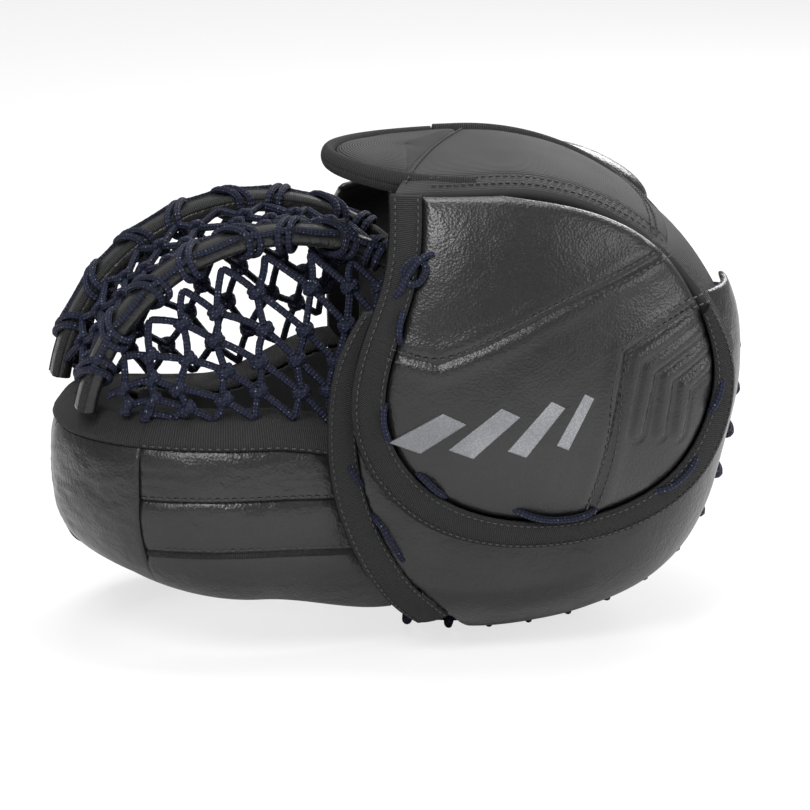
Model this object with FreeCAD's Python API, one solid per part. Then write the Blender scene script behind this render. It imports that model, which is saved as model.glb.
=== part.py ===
"""A goalkeeper's catching glove for ice sports, lying palm down, in millimetres, +Z up.

The glove is a trough that opens downwards. A thumb wall (towards -Y) and a finger wall (towards
+Y) meet round the tip at -X. Two padded ridge strips arch over the trough from the tip to the
palm, and three laced nets join them to each other and to the walls. At +X a cuff closes the
trough: a near shell under a domed front panel, and a far shell, joined along a laced rim. The
hand goes in between the top panel and the far shell. The thumb wall closes on a leather hinge
that runs along X below the near ridge strip, and a hook-and-loop strap opens on the far shell.
"""
import FreeCAD, Part
import math
import os

Vector = FreeCAD.Vector

# Clearances
SEAT = 0.3            # gap between pieces that lie against each other
FOAM_GAP = 0.6        # between a pad and the leather that is stretched over it
SOFT_GAP = 0.6        # gap between soft pieces whose curved faces meet

# Plan of the pocket wall, measured on its outer skin
HEEL_X = -12.3        # where both walls end beside the cuff
NOSE_X = -93.0        # where the straight walls turn into the rounded tip
NOSE_REACH = 110.0    # how far the tip reaches past NOSE_X
NOSE_Y = -5.0
NEAR_Y = -98.0
FAR_Y = 140.0
HEEL_TUCK = 12.0      # how far the thumb wall is drawn in under the cuff

# Heights of the pocket wall at: thumb heel, thumb bend, tip, finger bend, finger heel
WALL_TOP = [135.0, 147.0, 147.0, 124.0, 150.0]
WALL_SEAM = [101.0, 104.0, 101.0, 84.0, 96.0]
WALL_PIPING = [68.0, 71.0, 68.0, 46.0, 52.0]
WALL_BOTTOM = [26.0, 38.0, 58.0, 0.0, 0.0]
PLAN_STEP = 15.0      # spacing of the sections along the plan
TOP_ROLL = 8.0        # how far the skin leans in at the top edge
THUMB_TUCK = 24.0     # how far the skin is drawn in at the thumb wall's lower edge
FINGER_TUCK = 8.0

# Layers of the pocket wall, as depths from the skin
COVER = 4.0
THUMB_FOAM = 14.0
THUMB_BOARD = (39.3, 43.0)
THUMB_LINER = (43.3, 45.0)
FINGER_FOAM = 20.0
FINGER_BOARD = (45.3, 49.0)
FINGER_LINER = (49.3, 51.0)
BINDING_HEIGHT = 13.0
BINDING_PROUD = 3.0   # how far the edge binding stands over the wall's top
PIPING_RADIUS = 2.4

# Where the wall is divided, counted 0 at the thumb heel, 1 and 3 at the bends, 2 at the tip
THUMB_END = 1.448
GUSSET = (1.45, 2.03)
FINGER_START = 2.032

# Stalls for the hand
STALL_RADIUS = 11.2
THUMB_STALL_RADIUS = 10.4
STALL_WALL = 1.7
LOW_PAD_TOP = 14.0
THUMB_STALL_DEPTH = 25.2
THUMB_STALL_Z = 96.0
FINGER_STALL_DEPTH = 33.8
FINGER_STALLS = {"little": (26.0, 68.0), "ring": (50.0, 82.0), "middle": (74.0, 86.0), "index": (98.0, 80.0)}

# Ridge strips: arcs in the XZ plane
RIDGE_X = -72.0
RIDGE_Z = 129.0
RIDGE_RADIUS = 121.0
RIDGE_WIDTH = 22.0
RIDGE_THICK = 12.0
WRAP_END_RADIUS = 8.0  # the tighter bends of a wrap, at the strip's edges
RIDGE_SKIN = 1.6
RIDGE_NEAR_Y = -45.0
RIDGE_FAR_Y = 55.0
RIDGE_TIP_ANGLES = {RIDGE_NEAR_Y: 169.3, RIDGE_FAR_Y: 170.6}
RIDGE_HEEL_ANGLE = 43.0
NET_TIP_ANGLE = 166.0
WRAP_ANGLES = [154.0, 131.0, 111.0, 92.0, 71.0]

# Laces and nets
LACE = 4.4            # diameter
NET_CORD = 4.6        # width of a net's cord
NET_THICK = 3.6
NET_LIFT = {"near": 1.3, "far": 0.5}  # of a net's lower edge, which slants, over the binding
NET_COLUMNS = 8
NET_ROWS = 4
MID_NET_COLUMNS = 12
MID_NET_ROWS = 3

# Palm sheet: an upright arc in plan, hollow towards the pocket
PALM_X = -140.0
PALM_Y = 5.0
PALM_RADIUS = 160.0
PALM_NEAR_Y = -46.5
PALM_FAR_Y = 86.0
PALM_BOTTOM = 15.0
PALM_TOP = 207.0
PALM_LEATHER = 2.5
PALM_BOARD = 5.0
PALM_FOAM = 8.0

# Cuff shells: closed outlines about one centre, reach in mm every 45 degrees from +X towards +Z
CUFF_X = 60.0
CUFF_Z = 137.0
CUFF_REACH = [142.0, 158.0, 150.0, 170.0, 170.0, 150.0, 130.6, 140.0]
NEAR_WALL = 4.5
FAR_WALL = 6.0
RIM_Y = -25.0
RIM_HALF = 6.0        # half the rim binding's width
RIM_PROUD = 1.2
# Stations: depth from the rim, share of the reach, shift along X, shift along Z
NEAR_STATIONS = [(0.0, 1.0, 0.0, 0.0), (24.0, 0.985, 0.0, 0.0), (50.0, 0.93, -3.0, 0.0), (68.0, 0.83, -8.0, 0.0),
                 (76.5, 0.72, -12.0, 0.0)]
FAR_STATIONS = [(0.0, 1.0, 0.0, 0.0), (30.0, 1.0, 0.0, -5.0), (75.0, 0.985, 0.0, -9.5), (120.0, 0.90, 0.0, -13.0),
                (150.0, 0.80, 0.0, -14.0), (164.0, 0.70, 0.0, -14.0)]
NEAR_SHELL_TOP = 214.0
FAR_EDGE_X = -12.0
FAR_EDGE_INNER_X = 12.0  # the far shell's edge where the palm sheet closes the cuff
HAND_HOLE_Y = 98.0    # the far shell's lip at the hand opening
HAND_HOLE_Z = 176.0

# Front panel on the near shell: edge of its binding and edge of its leather field, both in XZ
FRONT_OUTLINE = [(-19, 281), (-25, 236), (-41, 190), (-45, 150), (-33, 118), (-6, 90), (34, 74), (82, 71), (132, 80),
                 (168, 102), (186, 138), (188, 170), (172, 208), (146, 240.5), (117, 262), (44, 281.6)]
FRONT_FIELD = [(-2, 281), (-8, 238), (-23, 192), (-27, 152), (-16, 126), (8, 104), (42, 91), (83, 88), (126, 97),
               (154, 116), (170, 144), (174, 170), (166, 203), (145, 239), (116.5, 261), (44, 280.8)]
DOME_X = 52.0
DOME_Z = 168.0
DOME_RADIUS = 190.0
DOME_RISE = 130.0     # the dome's half axis along Y
FRONT_LEATHER = 2.4
FRONT_FOAM = 9.0

# Edge of the near shell where it laps over the thumb wall
LAP_EDGE = [(-36, 214), (-50, 188), (-57, 150), (-54, 108), (-41, 70), (-22, 40), (4, 16), (20, 4)]
LAP_SEAM = [(-20, 216), (-35, 186), (-42, 150), (-39, 114), (-27, 79), (-9, 50), (15, 27), (32, 12)]

# Top panel: a swept profile (Y, radius) about the cuff's upper centre
TOP_X = 44.0
TOP_Z = 135.0
TOP_OUTER = [(-93.0, 146.0), (-76.0, 153.0), (-38.0, 161.0), (13.0, 162.0)]
TOP_THICK = 8.0
LIP_Y = (13.4, 23.0)
LIP_RADII = (151.0, 165.0)
TOP_RIGHT_ANGLE = 12.0
LIP_END_ANGLE = 21.0
LIP_END_X = 30.0
GUSSET_ANGLE = 46.0
TONGUE_CENTRE = (36.0, -34.0)
TONGUE_REACH = (84.0, 54.0)
TONGUE_BAND = 9.0
TONGUE_SEAM = ((45.0, 13.0), (-14.0, -88.0))

# Pieces that are cut to fit round others
TRIMMED = {"rim_binding": ["palm_leather", "palm_board", "palm_foam", "side_gusset"], "crotch_gussets": ["palm_leather"]}

# Strap and trim on the far shell
STRAP_START_X = 36.0
STRAP_PIN_X = 147.5
STRAP_PIN_RISE = 5.4
STRAP_PIN_RADIUS = 2.2
STRAP_EAR = 3.0
PIN_PLAY = 0.06
STRAP_Z = 150.0
STRAP_WIDTH = 38.0
STRAP_THICK = 2.6
PATCH_THICK = 1.6
FAR_FACE_Y = RIM_Y + FAR_STATIONS[-1][0]
RIM_LACE_ANGLES = [247 + 10.5 * k for k in range(14)]
RIM_LACE_LIFT = 0.2    # the laces' clearance over the middle of the rim binding


def line(a, b):
    return Part.LineSegment(a, b).toShape()


def spline(points):
    curve = Part.BSplineCurve()
    curve.interpolate(points)
    return curve.toShape()


def closed_spline(points):
    curve = Part.BSplineCurve()
    curve.interpolate(points, PeriodicFlag=True)
    return Part.Wire([curve.toShape()])


def loft(wires, straight=False):
    return Part.makeLoft(wires, True, straight)


def spread(low, high, count):
    """count values from low to high, both included."""
    return [low + (high - low) * k / (count - 1) for k in range(count)]


def box(x, y, z):
    """A box from three (low, high) pairs."""
    return Part.makeBox(x[1] - x[0], y[1] - y[0], z[1] - z[0], Vector(x[0], y[0], z[0]))


def prism(outline, y_low, y_high):
    """The solid inside a closed wire that lies in the plane y = 0, from y_low to y_high."""
    face = Part.Face(outline)
    face.translate(Vector(0, y_low, 0))
    return face.extrude(Vector(0, y_high - y_low, 0))


def tube(points, diameter):
    """A round cord on one smooth curve: straight through two points, an arc through three."""
    edge = Part.Arc(*points).toShape() if len(points) == 3 else spline(points)
    start = edge.valueAt(edge.FirstParameter)
    along = edge.tangentAt(edge.FirstParameter)
    profile = Part.Wire([Part.makeCircle(diameter / 2, start, along)])
    return Part.Wire([edge]).makePipeShell([profile], True, True)


def biggest(shape):
    """The largest solid of a shape."""
    return max(shape.Solids, key=lambda s: s.Volume)


# The pocket wall

def mix(values, s):
    """A height from its five stations, eased between them."""
    k = min(int(s), 3)
    t = s - k
    t = t * t * (3 - 2 * t)
    return values[k] * (1 - t) + values[k + 1] * t


def plan(s):
    """The wall's outer point and outward direction at s."""
    if s < 1:
        x = HEEL_X + (NOSE_X - HEEL_X) * s
        return Vector(x, NEAR_Y + HEEL_TUCK * (1 - s) ** 2, 0), Vector(0, -1, 0)
    if s > 3:
        return Vector(NOSE_X + (HEEL_X - NOSE_X) * (s - 3), FAR_Y, 0), Vector(0, 1, 0)
    turn = math.radians(90 * (s - 2))
    half = NOSE_Y - NEAR_Y if s < 2 else FAR_Y - NOSE_Y
    point = Vector(NOSE_X - NOSE_REACH * math.cos(turn), NOSE_Y + half * math.sin(turn), 0)
    out = Vector(-math.cos(turn) / NOSE_REACH, math.sin(turn) / half, 0)
    return point, out.normalize()


def roll(s, z):
    """How far the skin is set in at height z."""
    middle, top, bottom = mix(WALL_SEAM, s), mix(WALL_TOP, s), mix(WALL_BOTTOM, s)
    if z > middle:
        return TOP_ROLL * ((z - middle) / (top - middle)) ** 4
    share = min(1.0, max(0.0, (s - 1.6) / 0.8))
    tuck = THUMB_TUCK * (1 - share) + FINGER_TUCK * share
    return tuck * ((middle - z) / (middle - bottom)) ** 2.2


def stations(span):
    """Values of s along the wall's plan, evenly spaced and about PLAN_STEP apart."""
    fine = spread(span[0], span[1], 200)
    lengths = [0.0]
    for a, b in zip(fine, fine[1:]):
        lengths.append(lengths[-1] + (plan(b)[0] - plan(a)[0]).Length)
    values = []
    for goal in spread(0.0, lengths[-1], 2 + int(lengths[-1] / PLAN_STEP)):
        k = min(range(len(fine)), key=lambda i: abs(lengths[i] - goal))
        values.append(fine[k])
    return values


def wall_point(s, depth, z):
    point, out = plan(s)
    return point - out * depth + Vector(0, 0, z)


def rolled(depth):
    """A depth that follows the skin."""
    return lambda s, z: roll(s, z) + depth


def upright(depth):
    """A depth measured from the plan curve alone."""
    return lambda s, z: depth


def wall_layer(span, low, high, outer, inner):
    """A layer of the wall between two depths and two heights, as one loft along the plan."""
    wires = []
    for s in stations(span):
        heights = spread(low(s), high(s), 5)
        face = [wall_point(s, outer(s, z), z) for z in heights]
        back = [wall_point(s, inner(s, z), z) for z in reversed(heights)]
        wires.append(Part.Wire([spline(face), line(face[-1], back[0]), spline(back), line(back[-1], face[0])]))
    return loft(wires, True)


def wall_polygon(span, section):
    """A straight-sided section, given by a function of s as (depth, z) pairs, lofted along the plan."""
    wires = []
    for s in stations(span):
        corners = [wall_point(s, depth, z) for depth, z in section(s)]
        wires.append(Part.makePolygon(corners + corners[:1]))
    return loft(wires, True)


def top_at(gap=0.0):
    return lambda s: mix(WALL_TOP, s) - gap


def seam_at(gap=0.0):
    return lambda s: mix(WALL_SEAM, s) - gap


def piping_at(gap=0.0):
    return lambda s: mix(WALL_PIPING, s) - gap


def bottom_at(gap=0.0):
    return lambda s: mix(WALL_BOTTOM, s) + gap


def edge_binding(span, inner_depth):
    """Webbing folded over a wall's top edge."""
    def section(s):
        top = mix(WALL_TOP, s)
        low = top - BINDING_HEIGHT
        skin_low, skin_top = roll(s, low), roll(s, top)
        return [(skin_low - 0.8, low), (skin_top - 0.8, top + BINDING_PROUD), (inner_depth, top + BINDING_PROUD),
                (inner_depth, top + SEAT), (skin_top + COVER, top + SEAT),
                (roll(s, top - 4) + COVER, top - 4), (roll(s, top - 8) + COVER, top - 8), (skin_low + COVER, low)]
    return wall_polygon(span, section)


def piping(span):
    """A round cord sewn between the side band and the lower band."""
    centres = [wall_point(s, roll(s, mix(WALL_PIPING, s)) + PIPING_RADIUS - 1.4, mix(WALL_PIPING, s))
               for s in stations(span)]
    return tube(centres, 2 * PIPING_RADIUS)


def wall_bands(span):
    """The leather cover: an upper band, a side band and a lower band, each meeting the next at a seam."""
    cord = PIPING_RADIUS + SEAT
    upper = wall_layer(span, seam_at(-SEAT), top_at(BINDING_HEIGHT + SEAT), rolled(0), rolled(COVER))
    side = wall_layer(span, piping_at(-cord), seam_at(), rolled(0), rolled(COVER))
    lower = wall_layer(span, bottom_at(), piping_at(cord), rolled(0), rolled(COVER))
    return upper, side, lower


def thumb_wall():
    span = (0.0, THUMB_END)
    upper, side, lower = wall_bands(span)
    start = wall_point(0.03, THUMB_STALL_DEPTH, THUMB_STALL_Z)
    end = wall_point(0.92, THUMB_STALL_DEPTH, THUMB_STALL_Z)
    start.x = HEEL_X
    behind_board = upright(THUMB_BOARD[0] - SEAT)
    edge_pad = wall_layer(span, bottom_at(1), piping_at(SEAT), rolled(COVER + SEAT), behind_board)
    tip_pad = wall_layer((1.02, THUMB_END), piping_at(-SEAT), top_at(SEAT), rolled(THUMB_FOAM + SEAT), behind_board)
    return {
        "thumb_upper_band": upper,
        "thumb_side_band": side,
        "thumb_lower_band": lower,
        "thumb_piping": piping(span),
        "thumb_edge_binding": edge_binding(span, THUMB_LINER[1]),
        "thumb_foam_pad": wall_layer(span, piping_at(), top_at(SEAT), rolled(COVER + FOAM_GAP), rolled(THUMB_FOAM)),
        "thumb_edge_pads": [edge_pad, tip_pad],
        "thumb_board": wall_layer(span, bottom_at(1), top_at(SEAT), upright(THUMB_BOARD[0]), upright(THUMB_BOARD[1])),
        "thumb_liner": wall_layer(span, bottom_at(0), top_at(SEAT), upright(THUMB_LINER[0]), upright(THUMB_LINER[1])),
        "thumb_stall": stall(start, end, THUMB_STALL_RADIUS),
    }


def stall(start, end, radius):
    """A tube closed at its far end, for a finger or the thumb."""
    axis = end - start
    length = axis.Length
    axis.normalize()
    outside = Part.makeCylinder(radius, length, start, axis)
    inside = Part.makeCylinder(radius - STALL_WALL, length - STALL_WALL, start, axis)
    return outside.cut(inside)


def tip_gusset():
    upper_and_side = wall_layer(GUSSET, bottom_at(), top_at(BINDING_HEIGHT + SEAT), rolled(0), rolled(COVER))
    return {
        "tip_gusset_cover": upper_and_side,
        "tip_gusset_foam": wall_layer(GUSSET, bottom_at(1), top_at(SEAT), rolled(COVER + FOAM_GAP), upright(THUMB_LINER[1])),
        "tip_edge_binding": edge_binding(GUSSET, THUMB_LINER[1]),
    }


def finger_wall():
    span = (FINGER_START, 4.0)
    upper, side, lower = wall_bands(span)
    pieces = {
        "finger_upper_band": upper,
        "finger_side_band": side,
        "finger_lower_band": lower,
        "finger_piping": piping(span),
        "finger_edge_binding": edge_binding(span, FINGER_LINER[1]),
        "finger_foam_pad": wall_layer(span, bottom_at(0), top_at(SEAT), rolled(COVER + FOAM_GAP), upright(FINGER_FOAM)),
        "finger_edge_pad": wall_layer(span, bottom_at(0), lambda s: mix(WALL_BOTTOM, s) + LOW_PAD_TOP,
                                      rolled(FINGER_FOAM + SEAT), upright(FINGER_BOARD[0] - SEAT)),
        "finger_tip_pad": wall_layer((FINGER_START, 2.9), lambda s: mix(WALL_BOTTOM, s) + LOW_PAD_TOP + SEAT,
                                     top_at(SEAT), rolled(FINGER_FOAM + 2 * SEAT), upright(FINGER_BOARD[0] - SEAT)),
        "finger_board": wall_layer(span, bottom_at(0), top_at(SEAT), upright(FINGER_BOARD[0]), upright(FINGER_BOARD[1])),
        "finger_liner": wall_layer(span, bottom_at(0), top_at(SEAT), upright(FINGER_LINER[0]), upright(FINGER_LINER[1])),
    }
    for name, (z, length) in FINGER_STALLS.items():
        y = FAR_Y - FINGER_STALL_DEPTH
        pieces[name + "_finger_stall"] = stall(Vector(HEEL_X, y, z), Vector(HEEL_X - length, y, z), STALL_RADIUS)
    return pieces


# Ridge strips, wraps and nets

def ridge_point(angle, radius, y):
    a = math.radians(angle)
    return Vector(RIDGE_X + radius * math.cos(a), y, RIDGE_Z + radius * math.sin(a))


def arc_edge(first, last, radius, y):
    middle = (first + last) / 2
    return Part.Arc(ridge_point(first, radius, y), ridge_point(middle, radius, y), ridge_point(last, radius, y)).toShape()


def rounded_section(angle, y, width, thick):
    """A rounded rectangle across a ridge strip."""
    a = math.radians(angle)
    out = Vector(math.cos(a), 0, math.sin(a))
    side = Vector(0, 1, 0)
    centre = ridge_point(angle, RIDGE_RADIUS, y)
    r = thick / 2 - 0.5
    half_w, half_t = width / 2, thick / 2

    def at(u, v):
        return centre + side * u + out * v

    k = r * (1 - math.sqrt(0.5))
    edges = []
    for su, sv in [(1, 1), (-1, 1), (-1, -1), (1, -1)]:
        first = at(su * half_w, sv * (half_t - r)) if su * sv > 0 else at(su * (half_w - r), sv * half_t)
        last = at(su * (half_w - r), sv * half_t) if su * sv > 0 else at(su * half_w, sv * (half_t - r))
        corner = at(su * (half_w - k), sv * (half_t - k))
        edges.append(Part.Arc(first, corner, last).toShape())
    wire = []
    for k, edge in enumerate(edges):
        wire.append(edge)
        following = edges[(k + 1) % 4]
        wire.append(line(edge.Vertexes[-1].Point, following.Vertexes[0].Point))
    return Part.Wire(wire)


def swept_strip(y, width, thick):
    tip = RIDGE_TIP_ANGLES[y]
    path = Part.Wire([arc_edge(tip, RIDGE_HEEL_ANGLE, RIDGE_RADIUS, y)])
    return path.makePipeShell([rounded_section(tip, y, width, thick)], True, False)


def ridge_strip(y):
    """A leather sleeve round a foam core."""
    sleeve = swept_strip(y, RIDGE_WIDTH, RIDGE_THICK)
    hollow = swept_strip(y, RIDGE_WIDTH - 2 * RIDGE_SKIN, RIDGE_THICK - 2 * RIDGE_SKIN)
    core = swept_strip(y, RIDGE_WIDTH - 2 * RIDGE_SKIN - SEAT, RIDGE_THICK - 2 * RIDGE_SKIN - SEAT)
    return sleeve.cut(hollow), core


def wrap(angle, y):
    """One turn of lace round a ridge strip: an oval of four arcs."""
    a = math.radians(angle)
    out = Vector(math.cos(a), 0, math.sin(a))
    centre = ridge_point(angle, RIDGE_RADIUS, y)
    half_w = RIDGE_WIDTH / 2 + LACE / 2 + 1.9
    half_t = RIDGE_THICK / 2 + LACE / 2 + 1.0
    reach, rise = half_w - WRAP_END_RADIUS, half_t - WRAP_END_RADIUS
    drop = (reach ** 2 - rise ** 2) / (2 * rise)
    share = (half_t + drop) / math.hypot(reach, drop)
    u, v = reach * share, drop * share - drop

    def at(across, outward):
        return centre + Vector(0, across, 0) + out * outward

    arcs = [Part.Arc(at(u, v), at(0, half_t), at(-u, v)), Part.Arc(at(-u, v), at(-half_w, 0), at(-u, -v)),
            Part.Arc(at(-u, -v), at(0, -half_t), at(u, -v)), Part.Arc(at(u, -v), at(half_w, 0), at(u, v))]
    ring = Part.Wire([arc.toShape() for arc in arcs])
    along = Vector(0, v + drop, 0) - out * u
    profile = Part.Wire([Part.makeCircle(LACE / 2, at(u, v), along)])
    return ring.makePipeShell([profile], True, True)


NET_EDGE_RADIUS = RIDGE_RADIUS - RIDGE_THICK / 2 - LACE - 1.9


def net_base(side):
    """The line that a side net is laced to: along the wall's top, then up the cuff's edge."""
    proud = BINDING_PROUD + SEAT + NET_LIFT[side]
    if side == "near":
        stops = [wall_point(s, 12.0, mix(WALL_TOP, s) + proud) for s in (1.42, 1.15, 0.9, 0.55, 0.2)]
        return stops + [Vector(-9, -80, 152), Vector(-6, -77, 175), Vector(-3, -72, 198)]
    shares = (2.36, 2.5, 2.7, 2.9, 3.1, 3.3, 3.5, 3.75)
    stops = [wall_point(s, 12.0, mix(WALL_TOP, s) + proud) for s in shares]
    return stops + [Vector(-15, 118, 172), Vector(-14, 104, 194), Vector(-12, 88, 208)]


def side_net(side, y):
    """A net between a ridge strip and a wall: one sheet with a hole between each four knots."""
    sign = -1 if side == "near" else 1
    base = spline(net_base(side))
    arc_tip, arc_heel = 164.0, 50.0
    top = spline([ridge_point(a, NET_EDGE_RADIUS, y + sign * 7) for a in spread(arc_tip, arc_heel, 9)])
    sheet = Part.makeRuledSurface(top, base).extrude(Vector(0, NET_THICK, 0))
    first, last = base.FirstParameter, base.LastParameter

    def knot(u, v):
        a = top.valueAt(top.FirstParameter + (top.LastParameter - top.FirstParameter) * u)
        b = base.valueAt(first + (last - first) * u)
        return a + (b - a) * v

    holes = []
    for column in range(NET_COLUMNS):
        for row in range(NET_ROWS):
            u0, u1 = column / NET_COLUMNS, (column + 1) / NET_COLUMNS
            v0, v1 = row / NET_ROWS, (row + 1) / NET_ROWS
            corners = [knot(u0, v0), knot(u1, v0), knot(u1, v1), knot(u0, v1)]
            holes.append(net_hole(corners))
    return sheet.cut([h for h in holes if h])


def net_hole(corners):
    """A prism along Y through the cell between four knots, drawn in by half a cord on each side."""
    flat = [Vector(c.x, 0, c.z) for c in corners]
    centre = (flat[0] + flat[1] + flat[2] + flat[3]) * 0.25
    size = min((flat[k] - flat[(k + 1) % 4]).Length for k in range(4))
    share = 1 - NET_CORD / max(size, NET_CORD * 1.6)
    flat = [centre + (c - centre) * share for c in flat]
    face = Part.Face(Part.makePolygon(flat + flat[:1]))
    mid_y = sum(c.y for c in corners) / 4
    face.translate(Vector(0, mid_y - 45, 0))
    return face.extrude(Vector(0, 90, 0))


def middle_net():
    """The net between the two ridge strips: part of a tube, with a lozenge-shaped hole in each cell."""
    clear = RIDGE_WIDTH / 2 + LACE + 2.3
    y_low, y_high = RIDGE_NEAR_Y + clear, RIDGE_FAR_Y - clear
    inner, outer = RIDGE_RADIUS - NET_THICK / 2, RIDGE_RADIUS + NET_THICK / 2
    tip, heel = NET_TIP_ANGLE, RIDGE_HEEL_ANGLE
    face = Part.Face(Part.Wire([
        arc_edge(tip, heel, inner, y_low),
        line(ridge_point(heel, inner, y_low), ridge_point(heel, outer, y_low)),
        arc_edge(heel, tip, outer, y_low),
        line(ridge_point(tip, outer, y_low), ridge_point(tip, inner, y_low))]))
    sheet = face.extrude(Vector(0, y_high - y_low, 0))
    turn = (tip - heel) / MID_NET_COLUMNS
    row = (y_high - y_low) / MID_NET_ROWS
    half_u = math.radians(turn) * RIDGE_RADIUS / 2 - NET_CORD / 2
    half_v = row / 2 - NET_CORD / 2
    holes = []
    for column in range(MID_NET_COLUMNS):
        for line_number in range(MID_NET_ROWS):
            angle = heel + turn * (column + 0.5)
            hole = box((-12, 12), (-half_v, half_v), (-half_u, half_u))
            hole.rotate(Vector(0, 0, 0), Vector(0, 1, 0), -angle)
            centre = ridge_point(angle, RIDGE_RADIUS, y_low + row * (line_number + 0.5))
            hole.translate(centre)
            holes.append(hole)
    return sheet.cut(holes)


def ridges_and_nets():
    near_sleeve, near_core = ridge_strip(RIDGE_NEAR_Y)
    far_sleeve, far_core = ridge_strip(RIDGE_FAR_Y)
    return {
        "near_ridge_strip": near_sleeve,
        "far_ridge_strip": far_sleeve,
        "ridge_cores": [near_core, far_core],
        "ridge_wraps": [wrap(a, y) for y in (RIDGE_NEAR_Y, RIDGE_FAR_Y) for a in WRAP_ANGLES],
        "thumb_side_net": side_net("near", RIDGE_NEAR_Y),
        "middle_net": middle_net(),
        "finger_side_net": side_net("far", RIDGE_FAR_Y),
    }


# The cuff

def cuff_outline(station, side, inset):
    """The cuff's closed outline at one station; side is -1 for the near half and +1 for the far one."""
    depth, share, shift_x, shift_z = station
    points = []
    for k, reach in enumerate(CUFF_REACH):
        a = math.radians(45 * k)
        r = reach * share - inset
        points.append(Vector(CUFF_X + shift_x + r * math.cos(a), RIM_Y + side * depth, CUFF_Z + shift_z + r * math.sin(a)))
    return closed_spline(points)


def cuff_half(side, start, inset, end_inset):
    """Half of the cuff's body as one solid, from `start` beside the rim to the flat end."""
    table = NEAR_STATIONS if side < 0 else FAR_STATIONS
    first = (start,) + table[0][1:]
    last = (table[-1][0] - end_inset,) + table[-1][1:]
    return loft([cuff_outline(station, side, inset) for station in [first] + table[1:-1] + [last]])


def near_body(grow):
    body = cuff_half(-1, 0, -grow, -grow)
    return body.common(box((-200, 300), (-200, 200), (-60, NEAR_SHELL_TOP + grow)))


def far_body(grow):
    body = cuff_half(1, 0, -grow, -grow)
    return body.cut(box((-300, 300), (-60, HAND_HOLE_Y - grow), (HAND_HOLE_Z + grow, 400)))


def cuff_inside(gap):
    """The room inside the cuff, clear of its walls by `gap`."""
    near = cuff_half(-1, -2, NEAR_WALL + gap, NEAR_WALL + gap)
    far = cuff_half(1, -2, FAR_WALL + gap, FAR_WALL + gap)
    return near.fuse(far)


def front_outline(points, inset):
    """The front panel's outline: a smooth line down, round and up again, closed by a straight top edge."""
    moved = []
    for x, z in points:
        v = Vector(x - DOME_X, 0, z - DOME_Z)
        v = v * ((v.Length - inset) / v.Length)
        moved.append(Vector(DOME_X + v.x, 0, DOME_Z + v.z))
    return Part.Wire([spline(moved), line(moved[-1], moved[0])])


def dome(inset):
    """The solid ball, squashed along Y, whose near face the front panel follows."""
    radius, rise = DOME_RADIUS - inset, DOME_RISE - inset
    centre = Vector(DOME_X, 0, DOME_Z)
    pole = spline([centre + Vector(radius * math.cos(t), -rise * math.sin(t), 0) for t in spread(0, math.pi / 2, 9)])
    rim = centre + Vector(radius, 0, 0)
    tip = centre + Vector(0, -rise, 0)
    face = Part.Face(Part.Wire([pole, line(tip, centre), line(centre, rim)]))
    return face.revolve(centre, Vector(0, 1, 0), 360)


def front_panel():
    """The domed front panel: leather over foam, with webbing folded round its edge."""
    field = prism(front_outline(FRONT_FIELD, SEAT), -160, -30)
    frame = prism(front_outline(FRONT_OUTLINE, 0), -160, -30)
    hollow = prism(front_outline(FRONT_FIELD, 0), -170, -20)
    back = dome(FRONT_LEATHER + FRONT_FOAM)
    seat = near_body(SOFT_GAP)
    binding = dome(-0.8).cut(back).common(frame).cut(hollow).cut(box((-8, 230), (-160, 0), (196, 320)))
    leather = dome(0).cut(dome(FRONT_LEATHER)).common(field)
    foam = dome(FRONT_LEATHER + SEAT).cut(back).common(field)
    pieces = {"front_leather": leather, "front_foam": foam, "front_edge_binding": binding}
    return {name: biggest(piece.cut(seat)) for name, piece in pieces.items()}


def top_section(angle, radii_and_y):
    """A closed section in the plane that holds the cuff's upper axis, turned by angle."""
    a = math.radians(angle)
    points = [Vector(TOP_X + r * math.cos(a), y, TOP_Z + r * math.sin(a)) for y, r in radii_and_y]
    outer = points[:len(TOP_OUTER)]
    inner = points[len(TOP_OUTER):]
    return Part.Wire([spline(outer), line(outer[-1], inner[0]), spline(inner), line(inner[-1], outer[0])])


def top_profile(inset=0.0):
    outer = [(y, r) for y, r in TOP_OUTER]
    inner = [(y + (2.0 if k == 0 else 0), max(r - TOP_THICK, TOP_OUTER[0][1] - 1.6 + inset))
             for k, (y, r) in enumerate(TOP_OUTER)]
    return outer + list(reversed(inner))


def turned(section, angle):
    """A section at the upright plane, revolved about the cuff's upper axis towards +X."""
    return Part.Face(section).revolve(Vector(TOP_X, 0, TOP_Z), Vector(0, 1, 0), angle)


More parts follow.
